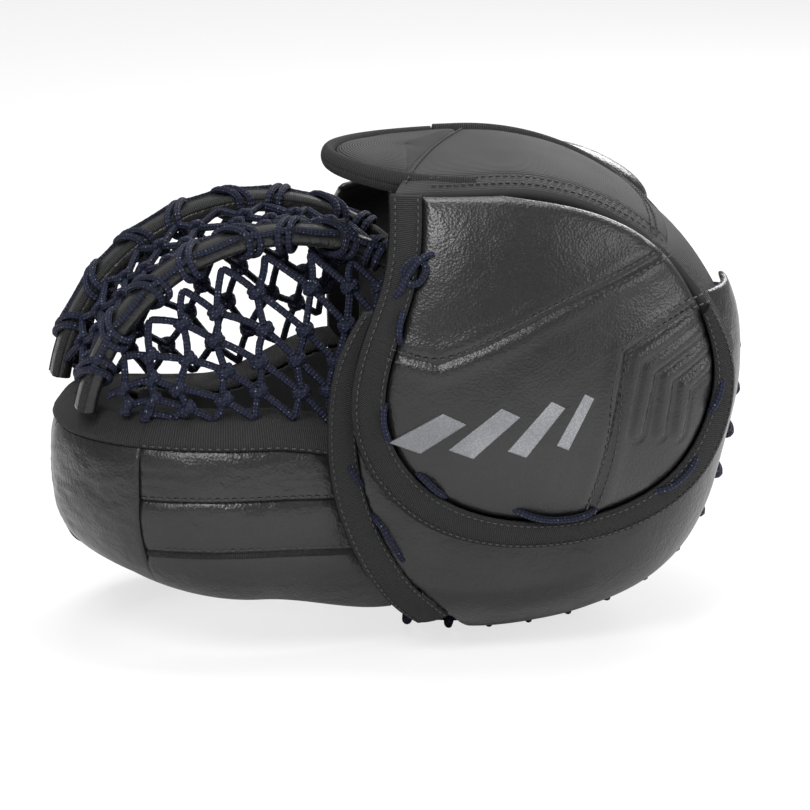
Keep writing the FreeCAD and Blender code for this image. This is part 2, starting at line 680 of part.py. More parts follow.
def top_panels():
    """The cloth top panel, its side gusset, the tongue that juts out over the nets, and the lip's binding."""
    frame = prism(front_outline(FRONT_OUTLINE, -SEAT), -150, -40)
    upright_section = top_section(90, top_profile())
    seam_section = top_section(GUSSET_ANGLE - 0.2, top_profile())
    roof = turned(upright_section, 90 - GUSSET_ANGLE)
    gusset = turned(seam_section, GUSSET_ANGLE - 0.2 - TOP_RIGHT_ANGLE)
    gusset = gusset.cut(near_body(SEAT)).cut(far_body(SEAT)).cut(box((100, 300), (-150, -55), (100, 205)))
    slab = Part.Face(upright_section).extrude(Vector(-130, 0, 0))
    knife = diagonal_knife()
    roof = roof.fuse(slab.common(knife)).removeSplitter()
    tongue = slab.cut(knife).common(tongue_plan(TONGUE_BAND))
    rest_of_knife = diagonal_knife()
    rest_of_knife.translate(Vector(-SEAT, 0, 0))
    tongue = tongue.cut(rest_of_knife)
    edge = thick_slab().common(tongue_plan(0)).cut(tongue_plan(TONGUE_BAND - SEAT)).cut(rest_of_knife)
    lip = lip_ring(LIP_END_ANGLE, 90)
    run = box((LIP_END_X, TOP_X), LIP_Y, (TOP_Z + LIP_RADII[0], TOP_Z + LIP_RADII[1]))
    return {
        "top_panel": biggest(roof.cut(frame)),
        "side_gusset": biggest(gusset.cut(frame)),
        "tongue_pad": biggest(tongue.cut(frame)),
        "tongue_binding": biggest(edge.cut(frame)),
        "lip_binding": lip.fuse(run).removeSplitter(),
    }


def tongue_plan(inset):
    """An upright prism over the tongue's rounded plan."""
    cx, cy = TONGUE_CENTRE
    ellipse = Part.Ellipse(Vector(cx, cy, 200), TONGUE_REACH[0] - inset, TONGUE_REACH[1] - inset).toShape()
    return Part.Face(Part.Wire([ellipse])).extrude(Vector(0, 0, 140))


def diagonal_knife():
    """Everything to the right of the slanting seam between the tongue and the top panel."""
    (x1, y1), (x2, y2) = TONGUE_SEAM
    along = Vector(x1 - x2, y1 - y2, 0).normalize()
    a = Vector(x1, y1, 200) + along * 60
    b = Vector(x2, y2, 200) - along * 60
    corners = [a, b, Vector(300, b.y, 200), Vector(300, a.y, 200)]
    return Part.Face(Part.makePolygon(corners + corners[:1])).extrude(Vector(0, 0, 140))


def thick_slab():
    """The tongue's slab, a little thicker, for its edge binding."""
    profile = top_profile()
    count = len(TOP_OUTER)
    grown = [(y, r + 1.2) for y, r in profile[:count]] + [(y, r - 3.0) for y, r in profile[count:]]
    return Part.Face(top_section(90, grown)).extrude(Vector(-130, 0, 0))


def lip_ring(low, high):
    """The binding along the hand opening, round the cuff's upper axis."""
    z = TOP_Z
    corners = [Vector(TOP_X, y, z + r) for y, r in
               [(LIP_Y[0], LIP_RADII[0]), (LIP_Y[1], LIP_RADII[0]), (LIP_Y[1], LIP_RADII[1]), (LIP_Y[0], LIP_RADII[1])]]
    face = Part.Face(Part.makePolygon(corners + corners[:1]))
    return face.revolve(Vector(TOP_X, 0, z), Vector(0, 1, 0), high - low)


def lap_outline(points):
    """The near shell's left edge as a smooth line, closed by straight lines round its right side."""
    corners = [points[-1], (60, -40), (260, -40), (260, 240), (points[0][0], 240), points[0]]
    sides = [line(Vector(a[0], 0, a[1]), Vector(b[0], 0, b[1])) for a, b in zip(corners, corners[1:])]
    return Part.Wire([spline([Vector(x, 0, z) for x, z in points])] + sides)


def cuff_shells():
    """The near shell with its lapped edge, the far shell with the hand opening, and the rim between."""
    near = cuff_half(-1, RIM_HALF + SEAT, 0, 0).cut(cuff_half(-1, RIM_HALF, NEAR_WALL, NEAR_WALL))
    near = near.common(box((-200, 300), (-200, 200), (-60, NEAR_SHELL_TOP)))
    lap = prism(lap_outline(LAP_EDGE), -150, 50)
    inner = prism(lap_outline(LAP_SEAM), -160, 60)
    inner_seam = prism(lap_outline([(x + SEAT, z) for x, z in LAP_SEAM]), -150, 50)
    far = cuff_half(1, RIM_HALF + SEAT, 0, 0).cut(cuff_half(1, RIM_HALF, FAR_WALL, FAR_WALL))
    far = far.cut(box((-300, 300), (-60, HAND_HOLE_Y), (HAND_HOLE_Z, 400)))
    far = far.cut(box((-300, FAR_EDGE_X), (-200, 300), (-60, 400)))
    far = far.cut(box((-300, FAR_EDGE_INNER_X), (-60, 82), (-60, 400)))
    far = far.common(box((-300, 300), (-200, 300), (0, 400)))
    rim = (0.0,) + NEAR_STATIONS[0][1:]
    ring = prism_between(cuff_outline(rim, 1, -RIM_PROUD), cuff_outline(rim, 1, FAR_WALL + 2))
    ring = ring.common(box((4, 300), (-60, 60), (-30, 196)))
    return {
        "near_shell": biggest(near.common(inner_seam)),
        "near_shell_binding": biggest(near.common(lap).cut(inner)),
        "far_shell": biggest(far),
        "rim_binding": biggest(ring),
    }


def prism_between(outer, inner):
    """A ring along Y, centred on the rim plane, between two closed outlines in that plane."""
    solids = []
    for wire, half in [(outer, RIM_HALF), (inner, RIM_HALF + 5)]:
        face = Part.Face(wire)
        face.translate(Vector(0, -half, 0))
        solids.append(face.extrude(Vector(0, 2 * half, 0)))
    return solids[0].cut(solids[1])


def rim_reach(angle):
    """The rim's reach at an angle, on the rim's own curve."""
    edge = cuff_outline((0.0, 1.0, 0.0, 0.0), 1, 0).Edges[0]
    a = math.radians(angle)
    ray = line(Vector(CUFF_X, RIM_Y, CUFF_Z), Vector(CUFF_X + 400 * math.cos(a), RIM_Y, CUFF_Z + 400 * math.sin(a)))
    hit = edge.distToShape(ray)[1][0][0]
    return math.hypot(hit.x - CUFF_X, hit.z - CUFF_Z)


def rim_laces():
    """Short lengths of lace over the rim, each from the near shell to the far one."""
    laces = []
    for angle in RIM_LACE_ANGLES:
        a = math.radians(angle)
        reach = rim_reach(angle)
        out = Vector(math.cos(a), 0, math.sin(a))
        centre = Vector(CUFF_X, RIM_Y, CUFF_Z)
        low = reach + LACE / 2 + SEAT
        fall = max(0.3, -math.sin(a))
        stops = [(-14, low + 0.1), (0, low + RIM_PROUD + RIM_LACE_LIFT), (9.5, low + 1.45 * fall)]
        laces.append(tube([centre + out * r + Vector(0, y, 0) for y, r in stops], LACE))
    return laces


def front_laces():
    """Running stitches of lace along the front panel's edge binding."""
    laces = []
    for x, z, lean in [(-29, 160, 84), (-18, 125, 58), (72, 86.5, 2), (141, 104, -28), (171.5, 150, -74)]:
        a = math.radians(lean)
        along = Vector(math.cos(a), 0, -math.sin(a))
        ends = []
        for t in (-16, 0, 16):
            p = Vector(x, 0, z) + along * t
            flat = ((p.x - DOME_X) / DOME_RADIUS) ** 2 + ((p.z - DOME_Z) / DOME_RADIUS) ** 2
            y = -DOME_RISE * math.sqrt(1 - flat)
            ends.append(Vector(p.x, y - 1.1 - LACE / 2 - SEAT, p.z))
        laces.append(tube(ends, LACE))
    return laces


def palm():
    """The sheet between pocket and hand: leather, a stiff board and foam, trimmed to the cuff's inside."""
    inside = cuff_inside(SOFT_GAP)
    pieces = {}
    start = PALM_RADIUS
    for name, thick in [("palm_leather", PALM_LEATHER), ("palm_board", PALM_BOARD), ("palm_foam", PALM_FOAM)]:
        base = Vector(PALM_X, PALM_Y, PALM_BOTTOM)
        height = PALM_TOP - PALM_BOTTOM
        sheet = Part.makeCylinder(start + thick, height, base).cut(Part.makeCylinder(start, height, base))
        sheet = sheet.common(box((-5, 60), (PALM_NEAR_Y, PALM_FAR_Y), (0, 400)))
        pieces[name] = biggest(sheet.common(inside))
        start += thick + SEAT
    x = PALM_X + math.sqrt(PALM_RADIUS ** 2 - (PALM_NEAR_Y + 3 - PALM_Y) ** 2) - SEAT
    low_gusset = box((x - 2.4, x), (-97, PALM_NEAR_Y + 2.5), (18, THUMB_STALL_Z - STALL_RADIUS - 8)).common(inside)
    high_gusset = box((x - 2.4, x), (-97, PALM_NEAR_Y + 2.5), (THUMB_STALL_Z + STALL_RADIUS + 8, PALM_TOP - 3)).common(inside)
    pieces["crotch_gussets"] = [biggest(low_gusset), biggest(high_gusset)]
    return pieces


def strap_pieces():
    """The wrist strap on the far shell's flat face: it turns on a pin between two ears."""
    face = FAR_FACE_Y + SEAT
    low, high = STRAP_Z - STRAP_WIDTH / 2, STRAP_Z + STRAP_WIDTH / 2
    x, y = STRAP_PIN_X, FAR_FACE_Y + STRAP_PIN_RISE
    ear = STRAP_EAR
    hook_y = face + PATCH_THICK + SEAT
    strap_y = hook_y + PATCH_THICK + SEAT
    pin = Part.makeCylinder(STRAP_PIN_RADIUS, STRAP_WIDTH, Vector(x, y, low))
    bore = Part.makeCylinder(STRAP_PIN_RADIUS + PIN_PLAY, STRAP_WIDTH + 2, Vector(x, y, low - 1))
    plate = box((x + 6, x + 25), (face, face + 3.2), (low, high))
    ears = [box((x - 4, x + 7), (face, y + 3.6), span) for span in [(low, low + ear), (high - ear, high)]]
    inner = (low + ear + 1, high - ear - 1)
    loop = Part.makeCylinder(STRAP_PIN_RADIUS + 2.2, inner[1] - inner[0], Vector(x, y, inner[0]))
    band = box((STRAP_START_X, x - 9.5), (strap_y, strap_y + STRAP_THICK), (low, high))
    band = band.makeFillet(8.0, [e for e in band.Edges if e.BoundBox.XMax < STRAP_START_X + 1 and e.BoundBox.YLength > 1])
    neck = box((x - 12, x), (strap_y, strap_y + STRAP_THICK), inner)
    return {
        "strap_loop_patch": box((STRAP_START_X + 8, STRAP_START_X + 70), (face, face + PATCH_THICK), (low + 2, high - 2)),
        "strap_anchor": plate.fuse(ears).cut(bore).removeSplitter(),
        "strap_pin": pin,
        "wrist_strap": band.fuse([neck, loop]).cut(bore).removeSplitter(),
        "strap_hook_patch": box((STRAP_START_X + 10, STRAP_START_X + 60), (hook_y, hook_y + PATCH_THICK), (low + 3, high - 3)),
    }


def trim():
    """Seam laces between the finger wall and the far shell, the heel pad and the pull tab."""
    laces = []
    for z in (80, 93, 106, 119):
        y = FAR_Y + LACE / 2 + SEAT
        stops = [Vector(FAR_EDGE_X - 15, y, z - 3), Vector(FAR_EDGE_X, y + 0.6, z), Vector(FAR_EDGE_X + 15, y, z + 3)]
        laces.append(tube(stops, LACE))
    pad = Part.makeSphere(1.0)
    grow = FreeCAD.Matrix()
    grow.scale(Vector(46, 19, 17))
    pad = pad.transformGeometry(grow)
    pad.rotate(Vector(0, 0, 0), Vector(0, 1, 0), 24)
    pad.translate(Vector(146, 114, 245))
    tab = box((0, 52), (104, 122), (0, 3))
    tab.rotate(Vector(0, 0, 0), Vector(0, 1, 0), 40)
    tab.translate(Vector(160, 0, 232))
    seat = far_body(SEAT)
    return {"far_seam_laces": laces, "wrist_pad": biggest(pad.cut(seat)), "pull_tab": biggest(tab.cut(seat).cut(pad))}


def cut_clear(piece, other):
    """A piece, or each solid of a list, without what lies in another piece."""
    if isinstance(piece, list):
        return [cut_clear(solid, other) for solid in piece]
    return biggest(piece.cut(other))


def extent(shapes):
    """The lowest and highest X, Y and Z of some shapes, from their meshes."""
    low, high = [1e9] * 3, [-1e9] * 3
    for shape in shapes:
        for point in shape.tessellate(0.4)[0]:
            low = [min(a, b) for a, b in zip(low, point)]
            high = [max(a, b) for a, b in zip(high, point)]
    return low, high


def main():
    os.makedirs("parts", exist_ok=True)
    pieces = {}
    for make in (thumb_wall, tip_gusset, finger_wall, ridges_and_nets, cuff_shells, front_panel, top_panels, palm,
                 strap_pieces, trim):
        pieces.update(make())
    pieces["cuff_laces"] = rim_laces() + pieces.pop("far_seam_laces")
    pieces["front_laces"] = front_laces()
    for name, neighbours in TRIMMED.items():
        for other in neighbours:
            pieces[name] = cut_clear(pieces[name], pieces[other])
    shapes = {name: Part.Compound(p) if isinstance(p, list) else p for name, p in pieces.items()}
    low, high = extent(shapes.values())
    shift = Vector(-(low[0] + high[0]) / 2, -(low[1] + high[1]) / 2, -low[2])
    print("shift", round(shift.x, 3), round(shift.y, 3), round(shift.z, 3))
    print("size", [round(b - a, 2) for a, b in zip(low, high)], "low", [round(v, 2) for v in low])
    for name, shape in shapes.items():
        shape.translate(shift)
        solids = shape.Solids
        print(f"{name}: {len(solids)} solids, {sum(s.Volume for s in solids) / 1000:.1f} cm3, valid {shape.isValid()}")
        (shape if len(solids) > 1 else solids[0]).exportStep(f"parts/{name}.step")


main()
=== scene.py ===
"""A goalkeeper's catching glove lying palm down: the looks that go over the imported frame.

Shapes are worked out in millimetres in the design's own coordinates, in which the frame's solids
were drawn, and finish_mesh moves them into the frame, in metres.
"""
import bpy
import bmesh
import math
import random
import numpy as np
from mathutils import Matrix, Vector, noise
from mathutils.bvhtree import BVHTree


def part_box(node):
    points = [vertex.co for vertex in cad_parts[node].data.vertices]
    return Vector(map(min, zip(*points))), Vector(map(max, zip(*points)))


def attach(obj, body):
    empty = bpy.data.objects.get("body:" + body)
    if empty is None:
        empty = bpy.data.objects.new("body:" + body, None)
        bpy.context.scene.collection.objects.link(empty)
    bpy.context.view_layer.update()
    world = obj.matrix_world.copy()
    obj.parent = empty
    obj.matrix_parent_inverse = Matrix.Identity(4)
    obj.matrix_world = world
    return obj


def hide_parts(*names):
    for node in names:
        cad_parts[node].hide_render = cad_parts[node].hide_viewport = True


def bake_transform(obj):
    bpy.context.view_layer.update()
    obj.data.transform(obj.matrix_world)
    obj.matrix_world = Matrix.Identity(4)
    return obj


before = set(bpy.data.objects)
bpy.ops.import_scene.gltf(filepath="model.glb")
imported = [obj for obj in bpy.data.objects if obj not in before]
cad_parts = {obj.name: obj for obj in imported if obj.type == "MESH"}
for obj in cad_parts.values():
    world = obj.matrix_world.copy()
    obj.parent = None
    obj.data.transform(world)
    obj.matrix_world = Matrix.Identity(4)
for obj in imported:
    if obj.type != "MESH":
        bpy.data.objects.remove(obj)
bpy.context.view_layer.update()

# The strap's pin tells where the design's coordinates lie in the frame.
PIN_LOW, PIN_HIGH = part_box("strap_pin")
SHIFT = np.array((PIN_LOW + PIN_HIGH) / 2) * 1000 - np.array((147.5, 144.4, 150.0))

# Pocket wall, in millimetres
HEEL_X, NOSE_X, NOSE_REACH, NOSE_Y = -12.3, -93.0, 110.0, -5.0
NEAR_Y, FAR_Y, HEEL_TUCK = -98.0, 140.0, 12.0
WALL_TOP = [135.0, 147.0, 147.0, 124.0, 150.0]
WALL_SEAM = [101.0, 104.0, 101.0, 84.0, 96.0]
WALL_PIPING = [68.0, 71.0, 68.0, 46.0, 52.0]
WALL_BOTTOM = [26.0, 38.0, 58.0, 0.0, 0.0]
TOP_ROLL, THUMB_TUCK, FINGER_TUCK = 8.0, 24.0, 8.0
THUMB_SPAN, TIP_SPAN, FINGER_SPAN = (0.0, 1.448), (1.45, 2.03), (2.032, 4.0)
BINDING_HEIGHT = 13.0

# Ridge strips and nets
RIDGE_X, RIDGE_Z, RIDGE_RADIUS = -72.0, 129.0, 121.0
RIDGE_WIDTH, RIDGE_THICK = 22.0, 12.0
RIDGE_NEAR_Y, RIDGE_FAR_Y = -45.0, 55.0
RIDGE_TIPS = {RIDGE_NEAR_Y: 169.3, RIDGE_FAR_Y: 170.6}
RIDGE_HEEL = 43.0
LACE = 4.4
# Each strip's Y, its outer side, and the angles at which lace goes round it
WRAPS = ((RIDGE_NEAR_Y, -1, (160, 146, 133, 118, 104, 90, 77, 64)),
         (RIDGE_FAR_Y, 1, (158, 142, 128, 113, 98, 84, 70, 58)))

# Cuff
CUFF_X, CUFF_Z, RIM_Y = 60.0, 137.0, -25.0
CUFF_REACH = [142.0, 158.0, 150.0, 170.0, 170.0, 150.0, 130.6, 140.0]
FRONT_OUTLINE = [(-19, 281), (-25, 236), (-41, 190), (-45, 150), (-33, 118), (-6, 90), (34, 74), (82, 71), (132, 80),
                 (168, 102), (186, 138), (188, 170), (172, 208), (146, 240.5), (117, 262), (44, 281.6)]
FRONT_FIELD = [(-2, 281), (-8, 238), (-23, 192), (-27, 152), (-16, 126), (8, 104), (42, 91), (83, 88), (126, 97),
               (154, 116), (170, 144), (174, 170), (166, 203), (145, 239), (116.5, 261), (44, 280.8)]
DOME_X, DOME_Z, DOME_RADIUS, DOME_RISE = 52.0, 168.0, 190.0, 130.0
LAP_EDGE = [(-36, 214), (-50, 188), (-57, 150), (-54, 108), (-41, 70), (-22, 40), (4, 16), (20, 4)]
LAP_SEAM = [(-20, 216), (-35, 186), (-42, 150), (-39, 114), (-27, 79), (-9, 50), (15, 27), (32, 12)]
TOP_X, TOP_Z = 44.0, 135.0
TOP_PROFILE = [(-93.0, 146.0), (-76.0, 153.0), (-38.0, 161.0), (13.0, 162.0)]
GUSSET_ANGLE, TOP_RIGHT_ANGLE = 46.0, 12.0
TONGUE_CENTRE, TONGUE_REACH = (36.0, -34.0), (84.0, 54.0)
TONGUE_SEAM = ((45.0, 13.0), (-14.0, -88.0))


# Curves and points

def curve(points, count, closed=False):
    """count points, evenly spaced along a smooth curve through the given ones."""
    p = np.array(points, float)
    wrap = min(4, len(p)) if closed else 0
    if closed:
        p = np.vstack([p[-wrap:], p, p[:wrap + 1]])
    t = np.concatenate([[0], np.cumsum(np.maximum(np.linalg.norm(np.diff(p, axis=0), axis=1), 1e-6))])
    n, h = len(p), np.diff(t)
    a, b = np.eye(n), np.zeros_like(p)
    for i in range(1, n - 1):
        a[i, i - 1:i + 2] = h[i - 1], 2 * (h[i - 1] + h[i]), h[i]
        b[i] = 6 * ((p[i + 1] - p[i]) / h[i] - (p[i] - p[i - 1]) / h[i - 1])
    m = np.linalg.solve(a, b)
    first, last = (wrap, n - 1 - wrap) if closed else (0, n - 1)
    fine = []
    for i in range(first, last):
        for k in np.linspace(0, 1, 24, endpoint=False):
            w = k * h[i]
            r = h[i] - w
            fine.append((m[i] * r ** 3 + m[i + 1] * w ** 3) / (6 * h[i]) + (p[i] / h[i] - m[i] * h[i] / 6) * r
                        + (p[i + 1] / h[i] - m[i + 1] * h[i] / 6) * w)
    fine.append(p[last])
    fine = np.array(fine)
    length = np.concatenate([[0], np.cumsum(np.linalg.norm(np.diff(fine, axis=0), axis=1))])
    goal = np.linspace(0, length[-1], count + 1)[:-1] if closed else np.linspace(0, length[-1], count)
    return np.stack([np.interp(goal, length, fine[:, k]) for k in range(fine.shape[1])], axis=1)


def length_along(points, closed=False):
    p = np.array(points)
    if closed:
        p = np.vstack([p, p[:1]])
    return np.concatenate([[0], np.cumsum(np.linalg.norm(np.diff(p, axis=0), axis=1))])


def crown(t, power=4.0):
    """1 in the middle of a band, falling to 0 at its two edges."""
    return 1 - np.abs(2 * np.asarray(t) - 1) ** power


def rough(point, scale, seed=0.0):
    """Smooth noise between -1 and 1 at a point in millimetres, with features about `scale` mm across."""
    return noise.noise(Vector(point) / scale + Vector((seed, seed * 1.7, -seed)))


def to_line(x, z, line):
    """Distance of the points (x, z) from a line of straight runs."""
    best = np.full(np.shape(x), 1e9)
    for (ax, az), (bx, bz) in zip(line, line[1:]):
        dx, dz = bx - ax, bz - az
        t = np.clip(((x - ax) * dx + (z - az) * dz) / (dx * dx + dz * dz + 1e-9), 0, 1)
        best = np.minimum(best, np.hypot(x - ax - t * dx, z - az - t * dz))
    return best


# Meshes

def finish_mesh(name, verts, faces, uvs, material, body, replaced=()):
    """One piece from points in design millimetres; uvs are in metres along the piece and across it."""
    mesh = bpy.data.meshes.new(name)
    mesh.from_pydata([tuple((np.asarray(v) + SHIFT) / 1000) for v in verts], [], faces)
    mesh.validate()
    if uvs is not None:
        layer = mesh.uv_layers.new(name="UVMap")
        loops = np.zeros(len(mesh.loops), np.int32)
        mesh.loops.foreach_get("vertex_index", loops)
        layer.data.foreach_set("uv", np.asarray(uvs, np.float32)[loops].ravel())
    mesh.polygons.foreach_set("use_smooth", [True] * len(mesh.polygons))
    piece = bpy.data.objects.new(name, mesh)
    bpy.context.scene.collection.objects.link(piece)
    mesh.materials.append(material)
    return own(piece, body, replaced)


def own(piece, body, replaced=()):
    if body:
        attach(piece, body)
    if replaced:
        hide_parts(*replaced)
    return piece


def grid_faces(nu, nv, start=0, closed_u=False, flip=False):
    faces = []
    for i in range(nu if closed_u else nu - 1):
        for j in range(nv - 1):
            a = start + i * nv + j
            b = start + ((i + 1) % nu) * nv + j
            faces.append((a, a + 1, b + 1, b) if flip else (a, b, b + 1, a + 1))
    return faces


def shell(outer, inner, closed_u=False):
    """Vertices, faces and metre UVs of a closed skin between two grids of points, (nu, nv, 3) each."""
    nu, nv = outer.shape[:2]
    verts = np.concatenate([outer.reshape(-1, 3), inner.reshape(-1, 3)])
    second = nu * nv
    faces = grid_faces(nu, nv, 0, closed_u) + grid_faces(nu, nv, second, closed_u, True)
    for i in range(nu if closed_u else nu - 1):
        k = (i + 1) % nu
        for j, flip in ((0, True), (nv - 1, False)):
            a, b = i * nv + j, k * nv + j
            quad = (a, b, second + b, second + a)
            faces.append(quad if flip else quad[::-1])
    if not closed_u:
        for j in range(nv - 1):
            for i, flip in ((0, False), (nu - 1, True)):
                a, b = i * nv + j, i * nv + j + 1
                quad = (a, b, second + b, second + a)
                faces.append(quad if flip else quad[::-1])
    middle = outer[:, nv // 2]
    along = length_along(middle, closed_u)[:nu]
    across = length_along(outer[nu // 2])
    uv = np.stack(np.meshgrid(along, across, indexing="ij"), axis=-1).reshape(-1, 2) / 1000
    return verts, faces, np.concatenate([uv, uv])


def skin(name, outer, inner, material, body, replaced=(), closed_u=False):
    verts, faces, uvs = shell(outer, inner, closed_u)
    return outward(finish_mesh(name, verts, faces, uvs, material, body, replaced))


def outward(piece):
    """Turns a closed piece's faces outwards."""
    bm = bmesh.new()
    bm.from_mesh(piece.data)
    bmesh.ops.recalc_face_normals(bm, faces=bm.faces)
    bm.to_mesh(piece.data)
    bm.free()
    return piece


def tube_parts(path, radius, sides=10, closed=False, braid=0.0, start=0, pitch=9.0):
    """Vertices, faces and UVs of a cord; braid is the height of its strands as a share of the radius."""
    p = np.array(path, float)
    n = len(p)
    tangent = np.roll(p, -1, 0) - np.roll(p, 1, 0) if closed else np.gradient(p, axis=0)
    tangent /= np.maximum(np.linalg.norm(tangent, axis=1, keepdims=True), 1e-9)
    normal = np.cross(tangent[0], (0.3, 0.5, 0.8))
    normal /= np.linalg.norm(normal)
    along = length_along(p)
    turns = np.linspace(0, 2 * math.pi, sides, endpoint=False)
    verts, uvs = [], []
    for i in range(n):
        normal = normal - tangent[i] * normal.dot(tangent[i])
        normal /= max(np.linalg.norm(normal), 1e-9)
        side = np.cross(tangent[i], normal)
        taper = 1.0
        if not closed and (i == 0 or i == n - 1):
            taper = 0.55
        r = radius * taper * (1 + braid * np.sin(3 * turns + along[i] * 2 * math.pi / pitch) * np.sin(
            3 * turns - along[i] * 2 * math.pi / pitch))
        ring = p[i] + np.outer(np.cos(turns) * r, normal) + np.outer(np.sin(turns) * r, side)
        verts.extend(ring)
        uvs.extend([(along[i] / 1000, t / (2 * math.pi)) for t in turns])
    faces = []
    for i in range(n if closed else n - 1):
        for j in range(sides):
            a, b = i * sides, ((i + 1) % n) * sides
            k = (j + 1) % sides
            faces.append((start + a + j, start + a + k, start + b + k, start + b + j))
    if not closed:
        faces.append(tuple(start + j for j in reversed(range(sides))))
        faces.append(tuple(start + (n - 1) * sides + j for j in range(sides)))
    return verts, faces, uvs


def cords(name, paths, radius, material, body, replaced=(), sides=10, step=1.3, braid=0.07, closed=False):
    """Several cords as one piece."""
    verts, faces, uvs = [], [], []
    for path in paths:
        points = np.array(path, float)
        total = length_along(points, closed)[-1]
        fine = curve(points, max(6, int(total / step)), closed)
        v, f, u = tube_parts(fine, radius, sides, closed, braid, len(verts))
        verts += v
        faces += f
        uvs += u
    return finish_mesh(name, verts, faces, uvs, material, body, replaced)


def stitch_row(path, length=3.4, gap=1.5, radius=0.5, lift=None, sides=6):
    """Vertices, faces and UVs of a row of stitches; lift gives the outward direction at a point."""
    p = np.array(path, float)
    along = length_along(p)
    verts, faces, uvs = [], [], []
    at = gap
    while at + length < along[-1]:
        spots = np.linspace(at, at + length, 5)
        line = np.stack([np.interp(spots, along, p[:, k]) for k in range(3)], axis=1)
        out = np.array(lift(line[2]))
        rise = np.array([-0.35, 0.25, 0.45, 0.25, -0.35])
        line = line + np.outer(rise * radius / 0.5, out)
        v, f, u = tube_parts(line, radius, sides, start=len(verts))
        verts += v
        faces += f
        uvs += u
        at += length + gap
    return verts, faces, uvs


def stitches(name, rows, material, body, slot, **size):
    """Rows of stitches as one piece: each row is (path, lift)."""
    verts, faces, uvs = [], [], []
    for path, lift in rows:
        v, f, u = stitch_row(path, lift=lift, **size)
        faces += [tuple(k + len(verts) for k in face) for face in f]
        verts += v
        uvs += u
    return finish_mesh(name, verts, faces, uvs, material, body)


def softened(name, node, material, body, voxel=2.0, rounds=8, ripple=0.0, scale=30.0):
    """A padded copy of a CAD node: its edges rounded off and its faces slightly uneven."""
    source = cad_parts[node]
    piece = source.copy()
    piece.data = source.data.copy()
    piece.name = name
    piece.data.materials.clear()
    piece.data.materials.append(material)
    for key in [k for k in piece.keys() if k.startswith("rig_")]:
        del piece[key]
    bpy.context.scene.collection.objects.link(piece)
    piece.parent = None
    piece.matrix_world = source.matrix_world
    remesh = piece.modifiers.new("remesh", "REMESH")
    remesh.mode = "VOXEL"
    remesh.voxel_size = voxel / 1000
    smooth = piece.modifiers.new("smooth", "SMOOTH")
    smooth.iterations = rounds
    smooth.factor = 0.5
    graph = bpy.context.evaluated_depsgraph_get()
    mesh = bpy.data.meshes.new_from_object(piece.evaluated_get(graph))
    piece.modifiers.clear()
    piece.data = mesh
    piece.hide_render = piece.hide_viewport = False
    if ripple:
        spots, normals = np.zeros(len(mesh.vertices) * 3), np.zeros(len(mesh.vertices) * 3)
        mesh.vertices.foreach_get("co", spots)
        mesh.vertices.foreach_get("normal", normals)
        spots, normals = spots.reshape(-1, 3), normals.reshape(-1, 3)
        lift = np.array([rough(spot * 1000, scale) for spot in spots]) * ripple / 1000
        mesh.vertices.foreach_set("co", (spots + normals * lift[:, None]).ravel())
    mesh.polygons.foreach_set("use_smooth", [True] * len(mesh.polygons))
    return own(piece, body, [node])


# Materials

